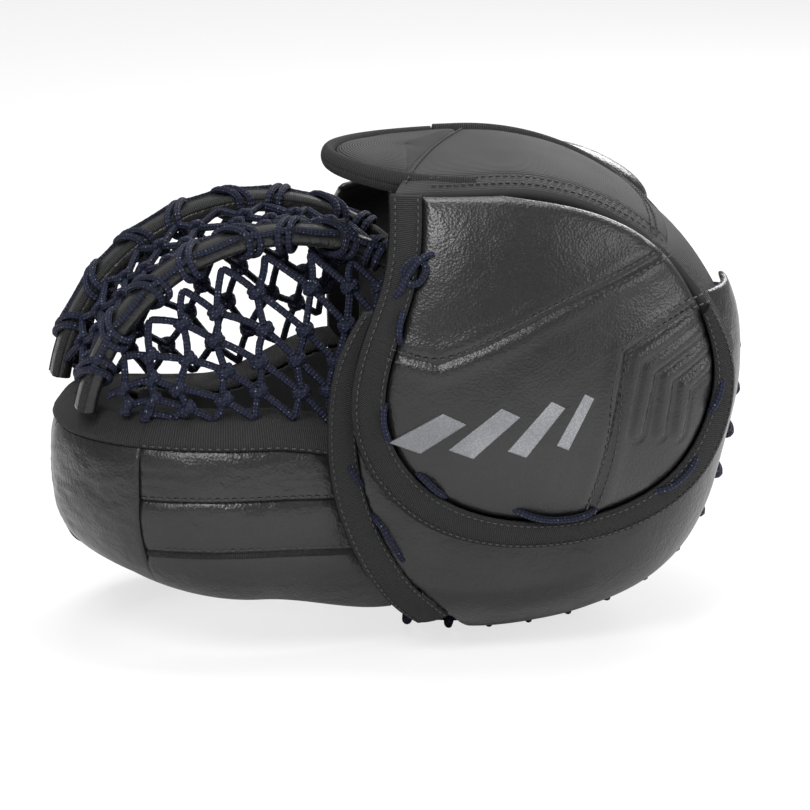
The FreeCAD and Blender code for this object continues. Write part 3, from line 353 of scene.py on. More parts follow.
class Nodes:
    """A material's node tree, with short calls for the nodes used here."""

    def __init__(self, name):
        self.material = bpy.data.materials.new(name)
        self.material.use_nodes = True
        self.tree = self.material.node_tree
        self.shader = self.tree.nodes["Principled BSDF"]

    def add(self, kind, **inputs):
        made = self.tree.nodes.new("ShaderNode" + kind)
        for key, value in inputs.items():
            if hasattr(made, key) and key not in made.inputs:
                setattr(made, key, value)
        for key, value in inputs.items():
            label = key.replace("_", " ")
            socket = made.inputs.get(key) or made.inputs.get(label) or made.inputs.get(label.title())
            if socket is None:
                continue
            self.put(socket, value)
        return made

    def put(self, socket, value):
        if hasattr(value, "links") or hasattr(value, "is_linked"):
            self.tree.links.new(value, socket)
        else:
            socket.default_value = value

    def math(self, operation, a, b=0.0):
        made = self.tree.nodes.new("ShaderNodeMath")
        made.operation = operation
        self.put(made.inputs[0], a)
        self.put(made.inputs[1], b)
        return made.outputs[0]

    def ramp(self, factor, *stops):
        made = self.tree.nodes.new("ShaderNodeValToRGB")
        band = made.color_ramp
        while len(band.elements) < len(stops):
            band.elements.new(0.5)
        for element, (place, value) in zip(band.elements, stops):
            element.position = place
            element.color = value if isinstance(value, tuple) else (value, value, value, 1)
        self.put(made.inputs[0], factor)
        return made.outputs[0]

    def total(self, *parts):
        """The sum of (socket, share) pairs."""
        result = None
        for socket, share in parts:
            term = socket if share == 1 else self.math("MULTIPLY", socket, share)
            result = term if result is None else self.math("ADD", result, term)
        return result

    def wave(self, socket, pitch):
        return self.math("SINE", self.math("MULTIPLY", socket, 2 * math.pi / pitch))

    def noise(self, where, scale, detail=3.0, distortion=0.0):
        made = self.add("TexNoise", Vector=where, Scale=scale, Detail=detail, Distortion=distortion)
        return made.outputs[0]

    def cells(self, where, scale, feature="F1"):
        made = self.tree.nodes.new("ShaderNodeTexVoronoi")
        made.feature = feature
        self.put(made.inputs["Vector"], where)
        made.inputs["Scale"].default_value = scale
        return made.outputs["Distance"]

    def bump(self, height, distance, strength=1.0, under=None):
        made = self.tree.nodes.new("ShaderNodeBump")
        made.inputs["Strength"].default_value = strength
        made.inputs["Distance"].default_value = distance
        self.put(made.inputs["Height"], height)
        if under is not None:
            self.put(made.inputs["Normal"], under)
        return made.outputs[0]

    def mix(self, factor, a, b):
        made = self.tree.nodes.new("ShaderNodeMix")
        made.data_type = "RGBA"
        self.put(made.inputs[0], factor)
        self.put(made.inputs[6], a)
        self.put(made.inputs[7], b)
        return made.outputs[2]

    def here(self):
        return self.tree.nodes.new("ShaderNodeTexCoord").outputs["Object"]

    def uv(self):
        return self.tree.nodes.new("ShaderNodeTexCoord").outputs["UV"]

    def split(self, vector):
        made = self.tree.nodes.new("ShaderNodeSeparateXYZ")
        self.put(made.inputs[0], vector)
        return made.outputs[0], made.outputs[1]

    def set(self, **values):
        for key, value in values.items():
            self.put(self.shader.inputs[key.replace("_", " ")], value)
        return self.material


def grey(value, tint=(1.0, 1.0, 1.0)):
    return (value * tint[0], value * tint[1], value * tint[2], 1)


def leather(name, base, shine=0.42, grain=620.0, creases=1.0, tint=(1.0, 1.0, 1.03)):
    """Grained leather: pebbles, pores and a few soft creases, paler and smoother where it is worn."""
    m = Nodes(name)
    here = m.here()
    pebble = m.cells(here, grain)
    pores = m.noise(here, grain * 2.6, 2.0)
    folds = m.noise(here, 70.0, 4.0, 1.2)
    wear = m.noise(here, 16.0, 5.0)
    height = m.total((pebble, 0.8), (pores, 0.35))
    fine = m.bump(height, 0.00030, 0.75)
    normal = m.bump(folds, 0.0011 * creases, 0.55, fine)
    colour = m.mix(m.ramp(wear, (0.35, 0.0), (0.75, 1.0)), grey(base * 0.75, tint), grey(base * 1.55, tint))
    colour = m.mix(m.ramp(pebble, (0.15, 0.0), (0.6, 0.45)), colour, grey(base * 0.35, tint))
    rough_map = m.ramp(wear, (0.25, shine + 0.10), (0.8, shine - 0.05))
    return m.set(Base_Color=colour, Roughness=rough_map, Normal=normal, Specular_IOR_Level=0.42)


def webbing(name, base, pitch=0.00125, tint=(1.0, 1.0, 1.04)):
    """Ribbed tape: ribs across its length, with a fine weave on them."""
    m = Nodes(name)
    along, across = m.split(m.uv())
    ribs, weave = m.wave(along, pitch), m.wave(across, pitch * 0.6)
    fuzz = m.noise(m.here(), 900.0, 3.0)
    height = m.total((ribs, 0.5), (weave, 0.16), (fuzz, 0.5))
    # painted shade: the tape is coloured darker in the grooves between its ribs and lighter on their crests; the
    # fuzz adds random tone
    shade = m.total((ribs, 0.35), (fuzz, 0.9))
    colour = m.mix(m.ramp(shade, (0.1, 0.0), (0.9, 1.0)), grey(base * 0.45, tint), grey(base * 1.8, tint))
    return m.set(Base_Color=colour, Roughness=0.82, Normal=m.bump(height, 0.00040, 1.0),
                 Specular_IOR_Level=0.25)


def cloth(name, base, pitch=0.0016, tint=(1.0, 1.0, 1.02)):
    """Nylon with fine raised lines along its length over a plain weave."""
    m = Nodes(name)
    along, across = m.split(m.uv())
    lines, dashes = m.wave(across, pitch), m.wave(along, pitch * 0.8)
    fuzz = m.noise(m.here(), 1200.0, 2.0)
    patches = m.noise(m.here(), 22.0, 3.0)
    height = m.total((lines, 0.55), (m.math("MULTIPLY", lines, dashes), 0.3), (fuzz, 0.4))
    # painted shade: the cloth is coloured darker between its raised lines and lighter on them; the patches are
    # random tone
    shade = m.total((lines, 0.4), (patches, 1))
    colour = m.mix(m.ramp(shade, (0.1, 0.0), (1.0, 1.0)), grey(base * 0.5, tint), grey(base * 1.6, tint))
    return m.set(Base_Color=colour, Roughness=0.7, Normal=m.bump(height, 0.00032, 1.0),
                 Specular_IOR_Level=0.3)


def braid(name, base, tint, fleck=0.5, pitch=0.0045):
    """Braided cord: crossing strands, one in several of them flecked with a paler thread."""
    m = Nodes(name)
    along, turn = m.split(m.uv())
    run = m.math("MULTIPLY", along, 2 * math.pi / pitch)
    round_ = m.math("MULTIPLY", turn, 2 * math.pi * 3)
    one = m.math("SINE", m.math("ADD", run, round_))
    two = m.math("SINE", m.math("SUBTRACT", run, round_))
    strands = m.math("MULTIPLY", one, two)
    fuzz = m.noise(m.here(), 1500.0, 2.0)
    spots = m.noise(m.here(), 420.0, 1.0)
    pale = m.math("MULTIPLY", m.ramp(spots, (0.60, 0.0), (0.66, 1.0)),
                  m.ramp(strands, (0.35, 0.0), (0.7, 1.0)))
    # painted shade: the strands are coloured lighter on their crests and darker where they dip, the same pattern as
    # their bumps; the paler flecks are the thread's own colour
    colour = m.mix(m.ramp(strands, (0.0, 0.0), (0.8, 1.0)), grey(base * 0.35, tint), grey(base * 1.5, tint))
    colour = m.mix(m.math("MULTIPLY", pale, fleck), colour, (0.20, 0.23, 0.32, 1))
    height = m.total((strands, 1), (fuzz, 0.5))
    return m.set(Base_Color=colour, Roughness=0.75, Normal=m.bump(height, 0.00045, 1.0),
                 Specular_IOR_Level=0.25)


def thread(name, base, tint=(1.0, 1.0, 1.0)):
    m = Nodes(name)
    along, turn = m.split(m.uv())
    twist = m.math("SINE", m.total((along, 2 * math.pi / 0.0011), (turn, 12.6)))
    # painted shade: the thread is coloured darker in the grooves of its twist and lighter on its crests
    colour = m.mix(m.ramp(twist, (0.2, 0.0), (0.8, 1.0)), grey(base * 0.6, tint), grey(base * 1.5, tint))
    return m.set(Base_Color=colour, Roughness=0.6, Normal=m.bump(twist, 0.0001, 0.8))


def metal(name):
    m = Nodes(name)
    scratches = m.noise(m.here(), 800.0, 4.0)
    return m.set(Base_Color=grey(0.5), Metallic=1.0, Roughness=m.ramp(scratches, (0.3, 0.25), (0.7, 0.42)))


BLACK = leather("black_leather", 0.0085, 0.34, creases=1.3)
PANEL = leather("panel_leather", 0.0090, 0.33, grain=640.0, creases=0.6)
GLOSS = leather("gloss_leather", 0.010, 0.22, grain=500.0, creases=0.6)
INNER = leather("palm_leather", 0.016, 0.55, grain=900.0)
SILVER = leather("silver_leather", 0.20, 0.38, grain=900.0, creases=0.4, tint=(0.96, 0.98, 1.04))
TAPE = webbing("ribbed_tape", 0.014)
CLOTH = cloth("ribbed_cloth", 0.022)
DARK_CLOTH = cloth("gusset_cloth", 0.014, pitch=0.0022)
NAVY = braid("navy_lace", 0.020, (0.45, 0.62, 1.75))
THREAD = thread("black_thread", 0.030)
LINING = cloth("lining", 0.018, pitch=0.003)
PILE = webbing("pile", 0.012, pitch=0.0008)
STEEL = metal("pin_steel")


# The pocket wall

def mix(values, s):
    k = min(int(s), 3)
    t = s - k
    t = t * t * (3 - 2 * t)
    return values[k] * (1 - t) + values[k + 1] * t


def plan(s):
    """Outer point and outward direction of the plan at s, from 0 at the thumb's heel to 4 at the fingers'."""
    if s < 1:
        y = NEAR_Y + HEEL_TUCK * (1 - s) ** 2
        return np.array((HEEL_X + (NOSE_X - HEEL_X) * s, y, 0)), np.array((0, -1.0, 0))
    if s > 3:
        return np.array((NOSE_X + (HEEL_X - NOSE_X) * (s - 3), FAR_Y, 0)), np.array((0, 1.0, 0))
    turn = math.radians(90 * (s - 2))
    half = NOSE_Y - NEAR_Y if s < 2 else FAR_Y - NOSE_Y
    out = np.array((-math.cos(turn) / NOSE_REACH, math.sin(turn) / half, 0))
    return (np.array((NOSE_X - NOSE_REACH * math.cos(turn), NOSE_Y + half * math.sin(turn), 0)),
            out / np.linalg.norm(out))


def roll(s, z):
    middle, top, bottom = mix(WALL_SEAM, s), mix(WALL_TOP, s), mix(WALL_BOTTOM, s)
    if z > middle:
        return TOP_ROLL * ((z - middle) / (top - middle)) ** 4
    share = min(1.0, max(0.0, (s - 1.6) / 0.8))
    tuck = THUMB_TUCK * (1 - share) + FINGER_TUCK * share
    return tuck * ((middle - z) / (middle - bottom)) ** 2.2


def wall(s, depth, z):
    point, out = plan(s)
    return point - out * depth + np.array((0, 0, z))


def wall_steps(span, step=2.5):
    """Values of s about `step` millimetres apart."""
    fine = np.linspace(span[0], span[1], 400)
    along = length_along([plan(s)[0] for s in fine])
    return np.interp(np.linspace(0, along[-1], int(along[-1] / step)), along, fine)


def wall_band(name, span, low, high, bulge, material, body, replaced, ripple=0.5, power=5.0, thick=3.4,
              rows=26):
    """A leather band of the wall: crowned between its two seams, with soft ripples."""
    outer, inner = [], []
    for s in wall_steps(span):
        front, back = [], []
        for t in np.linspace(0, 1, rows):
            z = low(s) + (high(s) - low(s)) * t
            base = roll(s, z)
            puff = bulge * crown(t, power)
            point = wall(s, base, z)
            puff += ripple * crown(t, 3.0) * (rough(point, 26, 3) + 0.5 * rough(point * (1, 1, 2.2), 9, 8))
            front.append(wall(s, base - puff + 0.5, z))
            back.append(wall(s, base + thick, z))
        outer.append(front)
        inner.append(back)
    return skin(name, np.array(outer), np.array(inner), material, body, replaced)


def top_edge(name, span, inner_depth, body, replaced):
    """Ribbed tape folded over the wall's top edge, crowned over the padding under it."""
    outer, inner = [], []
    for s in wall_steps(span, 1.6):
        top = mix(WALL_TOP, s)
        low = top - BINDING_HEIGHT
        skin_low, skin_top = roll(s, low), roll(s, top)
        line = [(skin_low - 0.2, low), (skin_low - 1.4, low + 1.2), (skin_low * 0.4 + skin_top * 0.6 - 2.2, low + 8),
                (skin_top - 0.4, top + 0.2), (skin_top + 3.5, top + 3.0), (skin_top + 12, top + 3.6),
                (inner_depth - 12, top + 3.4), (inner_depth - 3, top + 2.6), (inner_depth, top + 0.6)]
        line = curve(line, 26)
        middle = 0.5 * (skin_low + inner_depth)
        outer.append([wall(s, d, z) for d, z in line])
        inner.append([wall(s, d + (middle - d) * 0.06 + (1.2 if k < 9 else 0),
                           min(z - 1.0, top + 0.9) if k > 8 else z) for k, (d, z) in enumerate(line)])
    return skin(name, np.array(outer), np.array(inner), TAPE, body, replaced)


def wall_line(span, height, proud, step=1.5):
    """A path along the wall's skin at a height given as a function of s."""
    return [wall(s, roll(s, height(s)) - proud, height(s)) for s in wall_steps(span, step)]


def outward_from_wall(point):
    """The direction out of the wall at a point."""
    x, y = point[0] - NOSE_X, point[1] - NOSE_Y
    if x > 0:
        return np.array((0, 1.0 if y > 0 else -1.0, 0))
    half = FAR_Y - NOSE_Y if y > 0 else NOSE_Y - NEAR_Y
    out = np.array((x / NOSE_REACH ** 2, y / half ** 2, 0))
    return out / np.linalg.norm(out)


def top(s):
    return mix(WALL_TOP, s) - BINDING_HEIGHT


def seam(s):
    return mix(WALL_SEAM, s)


def piping(s):
    return mix(WALL_PIPING, s)


def bottom(s):
    return mix(WALL_BOTTOM, s)


def build_wall():
    for body, part, span, liner, inside in (
            ("thumb", "thumb", THUMB_SPAN, 45.0, ["thumb_board", "thumb_edge_pads"]),
            ("hand", "finger", FINGER_SPAN, 51.0, ["finger_board", "finger_edge_pad", "finger_tip_pad"])):
        wall_band(part + "_upper_leather", span, seam, top, 1.6, BLACK, body,
                  [part + "_upper_band"], 0.7)
        wall_band(part + "_side_leather", span, piping, seam, 2.0, BLACK, body,
                  [part + "_side_band"] + inside, 0.6)
        wall_band(part + "_lower_leather", span, bottom, piping, 2.6, BLACK, body,
                  [part + "_lower_band"], 0.7, 3.0)
        top_edge(part + "_top_tape", span, liner, body, [part + "_edge_binding"])
        cord_line = [wall(s, roll(s, piping(s)) + 1.0, piping(s)) for s in wall_steps(span, 6)]
        cords(part + "_piping_cord", [cord_line], 2.5, TAPE, body, [part + "_piping"], braid=0.02)
        rows = [(wall_line(span, lambda s: seam(s) + 2.2, 0.6), outward_from_wall),
                (wall_line(span, lambda s: top(s) + 1.8, 1.7), outward_from_wall),
                (wall_line(span, lambda s: piping(s) + 3.6, 0.7), outward_from_wall)]
        stitches(part + "_wall_stitches", rows, THREAD, body, "black_leather")
    wall_band("tip_cover", TIP_SPAN, bottom, top, 2.6, BLACK, None,
              ["tip_gusset_cover", "tip_gusset_foam"], 1.0, 6.0, rows=60)
    top_edge("tip_top_tape", TIP_SPAN, 45.0, None, ["tip_edge_binding"])


# Ridge strips

def ridge(angle, radius, y):
    a = math.radians(angle)
    return np.array((RIDGE_X + radius * math.cos(a), y, RIDGE_Z + radius * math.sin(a)))


def oval(width, thick, count, power=2.6):
    """Points of a rounded rectangle, as (across, outward)."""
    points = []
    for k in range(count):
        a = 2 * math.pi * k / count
        c, s = math.cos(a), math.sin(a)
        r = (abs(c) ** power + abs(s) ** power) ** (-1 / power)
        points.append((width / 2 * c * r, thick / 2 * s * r))
    return points


def build_ridges():
    for name, y in (("near", RIDGE_NEAR_Y), ("far", RIDGE_FAR_Y)):
        angles = np.linspace(RIDGE_TIPS[y], RIDGE_HEEL, 190)
        section = oval(RIDGE_WIDTH, RIDGE_THICK, 40)
        rings = []
        for a in angles:
            lump = 1 + 0.025 * rough(ridge(a, RIDGE_RADIUS, y), 14, 2)
            rings.append([ridge(a, RIDGE_RADIUS + v * lump, y + u * lump) for u, v in section])
        verts = np.array(rings).reshape(-1, 3)
        n, m = len(rings), len(section)
        faces = [(i * m + j, i * m + (j + 1) % m, (i + 1) * m + (j + 1) % m, (i + 1) * m + j)
                 for i in range(n - 1) for j in range(m)]
        faces += [tuple(range(m))[::-1], tuple((n - 1) * m + j for j in range(m))]
        along = length_along(np.array(rings)[:, 0])
        uvs = [(along[i] / 1000, j * 0.0015) for i in range(n) for j in range(m)]
        outward(finish_mesh(name + "_ridge_leather", verts, faces, uvs, BLACK, "hand",
                            [name + "_ridge_strip", "ridge_cores"]))
        for side in (-1, 1):
            tape_outer, tape_inner = [], []
            for a in angles:
                row_out, row_in = [], []
                for t in np.linspace(0, 1, 12):
                    turn = math.radians(20 + 80 * t) if side > 0 else math.radians(160 - 80 * t)
                    c, s = math.cos(turn), math.sin(turn)
                    r = (abs(c) ** 2.6 + abs(s) ** 2.6) ** (-1 / 2.6)
                    u, v = RIDGE_WIDTH / 2 * c * r, RIDGE_THICK / 2 * s * r
                    grow = 1.0 + (0.9 if 0 < t < 1 else 0.0) * 0.09
                    row_out.append(ridge(a, RIDGE_RADIUS + v * grow + 0.3, y + u * grow))
                    row_in.append(ridge(a, RIDGE_RADIUS + v * 0.93, y + u * 0.95))
                tape_outer.append(row_out)
                tape_inner.append(row_in)
            skin("%s_ridge_tape_%s" % (name, "inner" if side > 0 else "outer"), np.array(tape_outer)[:, :6],
                 np.array(tape_inner)[:, :6], TAPE, "hand")


# Nets

def side_top(y, u):
    return ridge(164.0 + (50.0 - 164.0) * u, 112.0, y)


def net_base(side):
    proud = 3.6
    if side == "near":
        stops = [wall(s, 12.0, mix(WALL_TOP, s) + proud) for s in (1.42, 1.15, 0.9, 0.55, 0.2)]
        return stops + [(-9, -80, 152), (-6, -77, 175), (-3, -72, 198)]
    stops = [wall(s, 12.0, mix(WALL_TOP, s) + proud) for s in (2.36, 2.6, 2.9, 3.3, 3.75)]
    return stops + [(-15, 118, 172), (-14, 104, 194), (-12, 88, 208)]


def net_surface(side):
    """A function of (u, v) that gives points of a side net: u from tip to cuff, v from ridge strip to wall."""
    sign, y = (-1, RIDGE_NEAR_Y) if side == "near" else (1, RIDGE_FAR_Y)
    base = curve(net_base(side), 400)

    def at(u, v):
        a = side_top(y + sign * 9.0, u)
        b = base[int(round(min(max(u, 0), 1) * 399))]
        sag = math.sin(math.pi * v) * 3.0 * sign
        return a + (b - a) * v + np.array((0, sag, 0))
    return at


def middle_surface(u, v):
    """Points of the middle net: u from tip to palm, v from the near ridge strip to the far one."""
    y = RIDGE_NEAR_Y + 12 + (RIDGE_FAR_Y - RIDGE_NEAR_Y - 24) * v
    sag = 3.0 * math.sin(math.pi * v)
    return ridge(165.0 + (RIDGE_HEEL + 1 - 165.0) * u, RIDGE_RADIUS - sag, y)


def knot(centre, across, along, size):
    """Two crossed turns of cord round a knot's centre."""
    across, along = across / np.linalg.norm(across), along / np.linalg.norm(along)
    out = np.cross(across, along)
    out /= max(np.linalg.norm(out), 1e-6)
    loops = []
    for tilt in (0.45, -0.45):
        axis = across + along * tilt
        axis /= np.linalg.norm(axis)
        other = np.cross(out, axis)
        ring = []
        for k in range(10):
            a = 2 * math.pi * k / 10
            ring.append(centre + size * (other * math.cos(a) + (out * 0.95 + axis * 0.25) * math.sin(a)))
        loops.append(ring)
    return loops


def lattice(surface, columns, rows, jitter, seed):
    """Cords of a diamond net and the loops of its knots, on a surface given as a function of (u, v)."""
    rng = random.Random(seed)
    spots = {}
    for row in range(rows + 1):
        shift = 0.5 if row % 2 else 0.0
        for column in range(columns + 1):
            u = (column + shift) / (columns + 0.5)
            v = row / rows
            if 0 < row < rows:
                u += rng.uniform(-jitter, jitter) / columns
                v += rng.uniform(-jitter, jitter) / rows
            spots[row, column] = (min(max(u, 0.0), 1.0), v)
    paths, loops = [], []
    for row in range(rows):
        for column in range(columns + 1):
            others = (column, column + 1) if row % 2 else (column - 1, column)
            for other in others:
                if (row + 1, other) not in spots:
                    continue
                a, b = spots[row, column], spots[row + 1, other]
                bend = rng.uniform(-0.04, 0.04)
                middle = ((a[0] + b[0]) / 2 + bend / columns, (a[1] + b[1]) / 2 + bend / rows)
                paths.append([surface(*a), surface(*middle), surface(*b)])
    for (row, column), (u, v) in spots.items():
        if 0 < row < rows:
            centre = surface(u, v)
            across = surface(u, min(v + 0.02, 1.0)) - surface(u, v - 0.02)
            along = surface(min(u + 0.02, 1), v) - surface(max(u - 0.02, 0), v)
            loops += knot(centre, across, along, LACE * 0.86)
    return paths, loops


def wrap_ring(angle, y, lean=0.0, grow=0.0):
    """One turn of lace round a ridge strip, leaning along it by `lean` degrees from side to side."""
    ring = []
    for u, v in oval(RIDGE_WIDTH + LACE + 1.0 + grow, RIDGE_THICK + LACE + 0.8 + grow, 16, 2.4):
        ring.append(ridge(angle + lean * u / RIDGE_WIDTH, RIDGE_RADIUS + v, y + u))
    return ring


def build_nets():
    near, far = net_surface("near"), net_surface("far")
    for name, surface, columns, rows, body, node, seed in (
            ("thumb_side_lacing", near, 8, 5, None, "thumb_side_net", 3),
            ("middle_lacing", middle_surface, 9, 4, "hand", "middle_net", 5),
            ("finger_side_lacing", far, 8, 5, "hand", "finger_side_net", 9)):
        paths, loops = lattice(surface, columns, rows, 0.16, seed)
        cords(name, paths, LACE * 0.5, NAVY, body, [node], sides=10, step=1.6)
        cords(name + "_knots", loops, LACE * 0.5, NAVY, body, sides=9, step=1.5, closed=True)
    rings = []
    for y, side, angles in WRAPS:
        for k, a in enumerate(angles):
            lean = 5.0 * (-1) ** k
            rings.append(wrap_ring(a, y, lean))
            rings.append(wrap_ring(a - 2.3, y, lean + 1.0))
    cords("ridge_lacing", rings, LACE * 0.5, NAVY, "hand", ["ridge_wraps"], closed=True)
    runs = []
    for y, side, angles in WRAPS:
        for a, b in zip(angles, angles[1:]):
            lift = RIDGE_RADIUS + RIDGE_THICK / 2 - 1.0
            edge = y + side * (RIDGE_WIDTH / 2 + 1.8)
            runs.append([ridge(a - 1.5, lift + 1, edge), ridge((a + b) / 2, lift - 0.5, edge + side * 0.6),
                         ridge(b - 0.5, lift + 1, edge)])
    cords("ridge_side_laces", runs, LACE * 0.42, NAVY, "hand")


# Front panel

def dome(x, z):
    """Y of the front panel's face."""
    flat = ((np.asarray(x) - DOME_X) / DOME_RADIUS) ** 2 + ((np.asarray(z) - DOME_Z) / DOME_RADIUS) ** 2
    return -DOME_RISE * np.sqrt(np.maximum(1 - flat, 0.02))


def on_dome(px, py):
    """The point (x, z) of the front panel that shows at a place in the picture."""
    y = -120.0
    for _ in range(12):
        x = ((px - 390) * 0.6 + 0.208 * y) / 0.978
        z = ((620 - py) * 0.6 - 0.050 * x - 0.237 * y) / 0.970
        y = float(dome(x, z))
    return x, z


def dome_out(point):
    x, y, z = point
    out = np.array(((x - DOME_X) / DOME_RADIUS ** 2, y / DOME_RISE ** 2, (z - DOME_Z) / DOME_RADIUS ** 2))
    return out / np.linalg.norm(out)


def dome_path(places, step=1.5):
    """A path on the front panel through places of the picture."""
    flat = curve([on_dome(px, py) for px, py in places], 60)
    along = length_along(flat)
    goal = np.linspace(0, along[-1], max(4, int(along[-1] / step)))
    x, z = (np.interp(goal, along, flat[:, k]) for k in (0, 1))
    return np.stack([x, dome(x, z), z], axis=1)


CROSS_SEAM = [(386, 354), (437, 366), (480, 350), (560, 308), (664, 252)]
SIDE_SEAM = [(702, 297), (618, 355), (606, 431), (583, 512)]
CHEVRONS = [[(699, 326), (640, 370), (628, 432)], [(708, 340), (658, 379), (651, 431)],
            [(712, 354), (676, 387), (670, 431)]]
# The same lines on the panel, as (x, z); a seam also has its depth and width
SUNK = [([on_dome(*spot) for spot in line], depth, width)
        for line, depth, width in ((CROSS_SEAM, 1.5, 2.2), (SIDE_SEAM, 1.6, 2.4))]
RAISED = [[on_dome(*spot) for spot in line] for line in CHEVRONS]


def front_height(x, z):
    """How far the front panel's leather stands proud at (x, z): seams sink, chevrons and edges of seams rise."""
    height = np.zeros(np.shape(x))
    for line, depth, width in SUNK:
        away = to_line(x, z, line)
        height += -depth * np.exp(-(away / width) ** 2) + 0.9 * np.exp(-((away - 6.5) / 5.0) ** 2)
    for line in RAISED:
        away = to_line(x, z, line)
        height += 1.2 * np.exp(-(away / 3.4) ** 4) - 0.7 * np.exp(-((away - 5.2) / 1.3) ** 2)
    return height


def build_front():
    edge = np.array(FRONT_FIELD, float)
    side_line = curve(edge, 300)
    top_line = np.array([side_line[-1] + (side_line[0] - side_line[-1]) * t for t in np.linspace(0, 1, 46)[1:-1]])
    outline = np.vstack([side_line, top_line])
    centre = np.array((72.0, 180.0))
    radii = np.linspace(0.0, 1.0, 130) ** 0.8
    outer, inner = [], []
    for point in outline:
        row = centre + np.outer(radii, point - centre)
        x, z = row[:, 0], row[:, 1]
        reach = np.linalg.norm(point - centre) * (1 - radii)
        tuck = 2.6 * np.exp(-(reach / 2.6) ** 1.3)
        puff = 2.2 * (1 - np.exp(-reach / 14.0))
        lumps = np.array([0.55 * rough((a, 0, b), 34, 5) + 0.22 * rough((a, 0, b), 12, 9) for a, b in zip(x, z)])
        height = front_height(x, z) * (1 - np.exp(-reach / 4.0)) + puff - tuck + lumps
        face = np.stack([x, dome(x, z), z], axis=1)
        out = np.stack([(x - DOME_X) / DOME_RADIUS ** 2, face[:, 1] / DOME_RISE ** 2,
                        (z - DOME_Z) / DOME_RADIUS ** 2], axis=1)
        out /= np.linalg.norm(out, axis=1, keepdims=True)
        outer.append(face + out * height[:, None])
        inner.append(face - out * 6.0)
    piece = skin("front_panel", np.array(outer), np.array(inner), PANEL, "hand",
                 ["front_leather", "front_foam"], closed_u=True)
    build_front_tape()
    rows = []
    for line, away in ((CROSS_SEAM, 3.0), (CROSS_SEAM, -3.0), (SIDE_SEAM, 3.0), (SIDE_SEAM, -3.0)):
        path = dome_path(line)
        flat = np.gradient(path[:, [0, 2]], axis=0)
        flat /= np.linalg.norm(flat, axis=1, keepdims=True)
        x, z = path[:, 0] - flat[:, 1] * away, path[:, 2] + flat[:, 0] * away
        rows.append((np.stack([x, dome(x, z) - 2.2 - front_height(x, z), z], axis=1), dome_out))
    stitches("front_stitches", rows, THREAD, "hand", "panel_leather")
    build_stripes()
    return piece


def build_front_tape():
    """The ribbed tape that is folded round the front panel's edge."""
    count = 420
    outer_line = curve(FRONT_OUTLINE[:13], count)
    inner_line = curve(FRONT_FIELD[:13], count)
    outer, inner = [], []
    for a, b in zip(outer_line, inner_line):
        row, back = [], []
        for t in np.linspace(0, 1, 12):
            x, z = b + (a - b) * t
            y = float(dome(x, z)) - 1.2 - 1.5 * crown(t, 3.0) + (1.6 * t ** 6)
            row.append((x, y, z))
            back.append((x + (b[0] - a[0]) * 0.02, y + 2.6 + 6.0 * t ** 4, z))
        x, z = a
        for k in range(1, 5):
            row.append((x + (b[0] - x) * 0.02 * k, float(dome(x, z)) + 0.8 + 2.4 * k, z + (b[1] - z) * 0.02 * k))
            back.append((x + (b[0] - x) * 0.14, float(dome(x, z)) + 2.6 + 2.4 * k, z + (b[1] - z) * 0.14))
        outer.append(row)
        inner.append(back)
    skin("front_tape", np.array(outer), np.array(inner), TAPE, "hand", ["front_edge_binding"])
    rows = []
    for share, lift in ((0.14, 2.3), (0.88, 1.9)):
        line = inner_line + (outer_line - inner_line) * share
        rows.append((np.stack([line[:, 0], dome(line[:, 0], line[:, 1]) - lift, line[:, 1]], axis=1), dome_out))
    stitches("front_tape_stitches", rows, THREAD, "hand", "webbing", length=2.6)


def build_stripes():
    """Slanting silver-grey bars sewn on the front panel, each smaller than the last."""
    bars = [((404, 446), (452, 418), 15), ((458, 452), (506, 412), 12), ((512, 452), (552, 404), 9),
            ((556, 446), (582, 396), 6)]
    for k, (low, high, half) in enumerate(bars):
        outer, inner = [], []
        for t in np.linspace(0, 1, 46):
            row, back = [], []
            for w in np.linspace(-1, 1, 22):
                px = low[0] + (high[0] - low[0]) * t + w * half * (1 - 0.25 * t)
                py = low[1] + (high[1] - low[1]) * t + w * half * 0.35
                x, z = on_dome(px, py)
                edge = min(crown((w + 1) / 2, 16.0), crown(t, 16.0))
                lift = 2.2 * 1.0 + float(front_height(np.array([x]), np.array([z]))[0]) + 0.15 + 0.55 * edge
                row.append((x, float(dome(x, z)) - lift, z))
                back.append((x, float(dome(x, z)) - lift + 1.4 + 0.5 * edge, z))
            outer.append(row)
            inner.append(back)
        skin("front_stripe_%d" % (k + 1), np.array(outer), np.array(inner), SILVER, "hand")


# Near shell's tape, rim and laces

CUFF_RIM = curve([(CUFF_X + r * math.cos(math.radians(45 * k)), CUFF_Z + r * math.sin(math.radians(45 * k)))
                  for k, r in enumerate(CUFF_REACH)], 720, closed=True)


def rim_point(angle, grow=0.0):
    """(x, z) of the rim at an angle from +X towards +Z, moved outwards by `grow`."""
    turns = np.degrees(np.arctan2(CUFF_RIM[:, 1] - CUFF_Z, CUFF_RIM[:, 0] - CUFF_X)) % 360
    best = CUFF_RIM[np.argmin(np.abs((turns - angle + 180) % 360 - 180))]
    reach = math.hypot(best[0] - CUFF_X, best[1] - CUFF_Z) + grow
    a = math.radians(angle)
    return CUFF_X + reach * math.cos(a), CUFF_Z + reach * math.sin(a)


class Skin:
    """The outer face of CAD solids, found by rays."""

    def __init__(self, *nodes):
        verts, faces = [], []
        for node in nodes:
            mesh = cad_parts[node].data
            faces += [tuple(v + len(verts) for v in f.vertices) for f in mesh.polygons]
            verts += [v.co.copy() for v in mesh.vertices]
        self.tree = BVHTree.FromPolygons(verts, faces)

    def hit(self, start, along):
        """The first point that a ray meets, in design millimetres, or None."""
        spot = self.tree.ray_cast(Vector((np.array(start) + SHIFT) / 1000), Vector(along))[0]
        return None if spot is None else np.array(spot) * 1000 - SHIFT


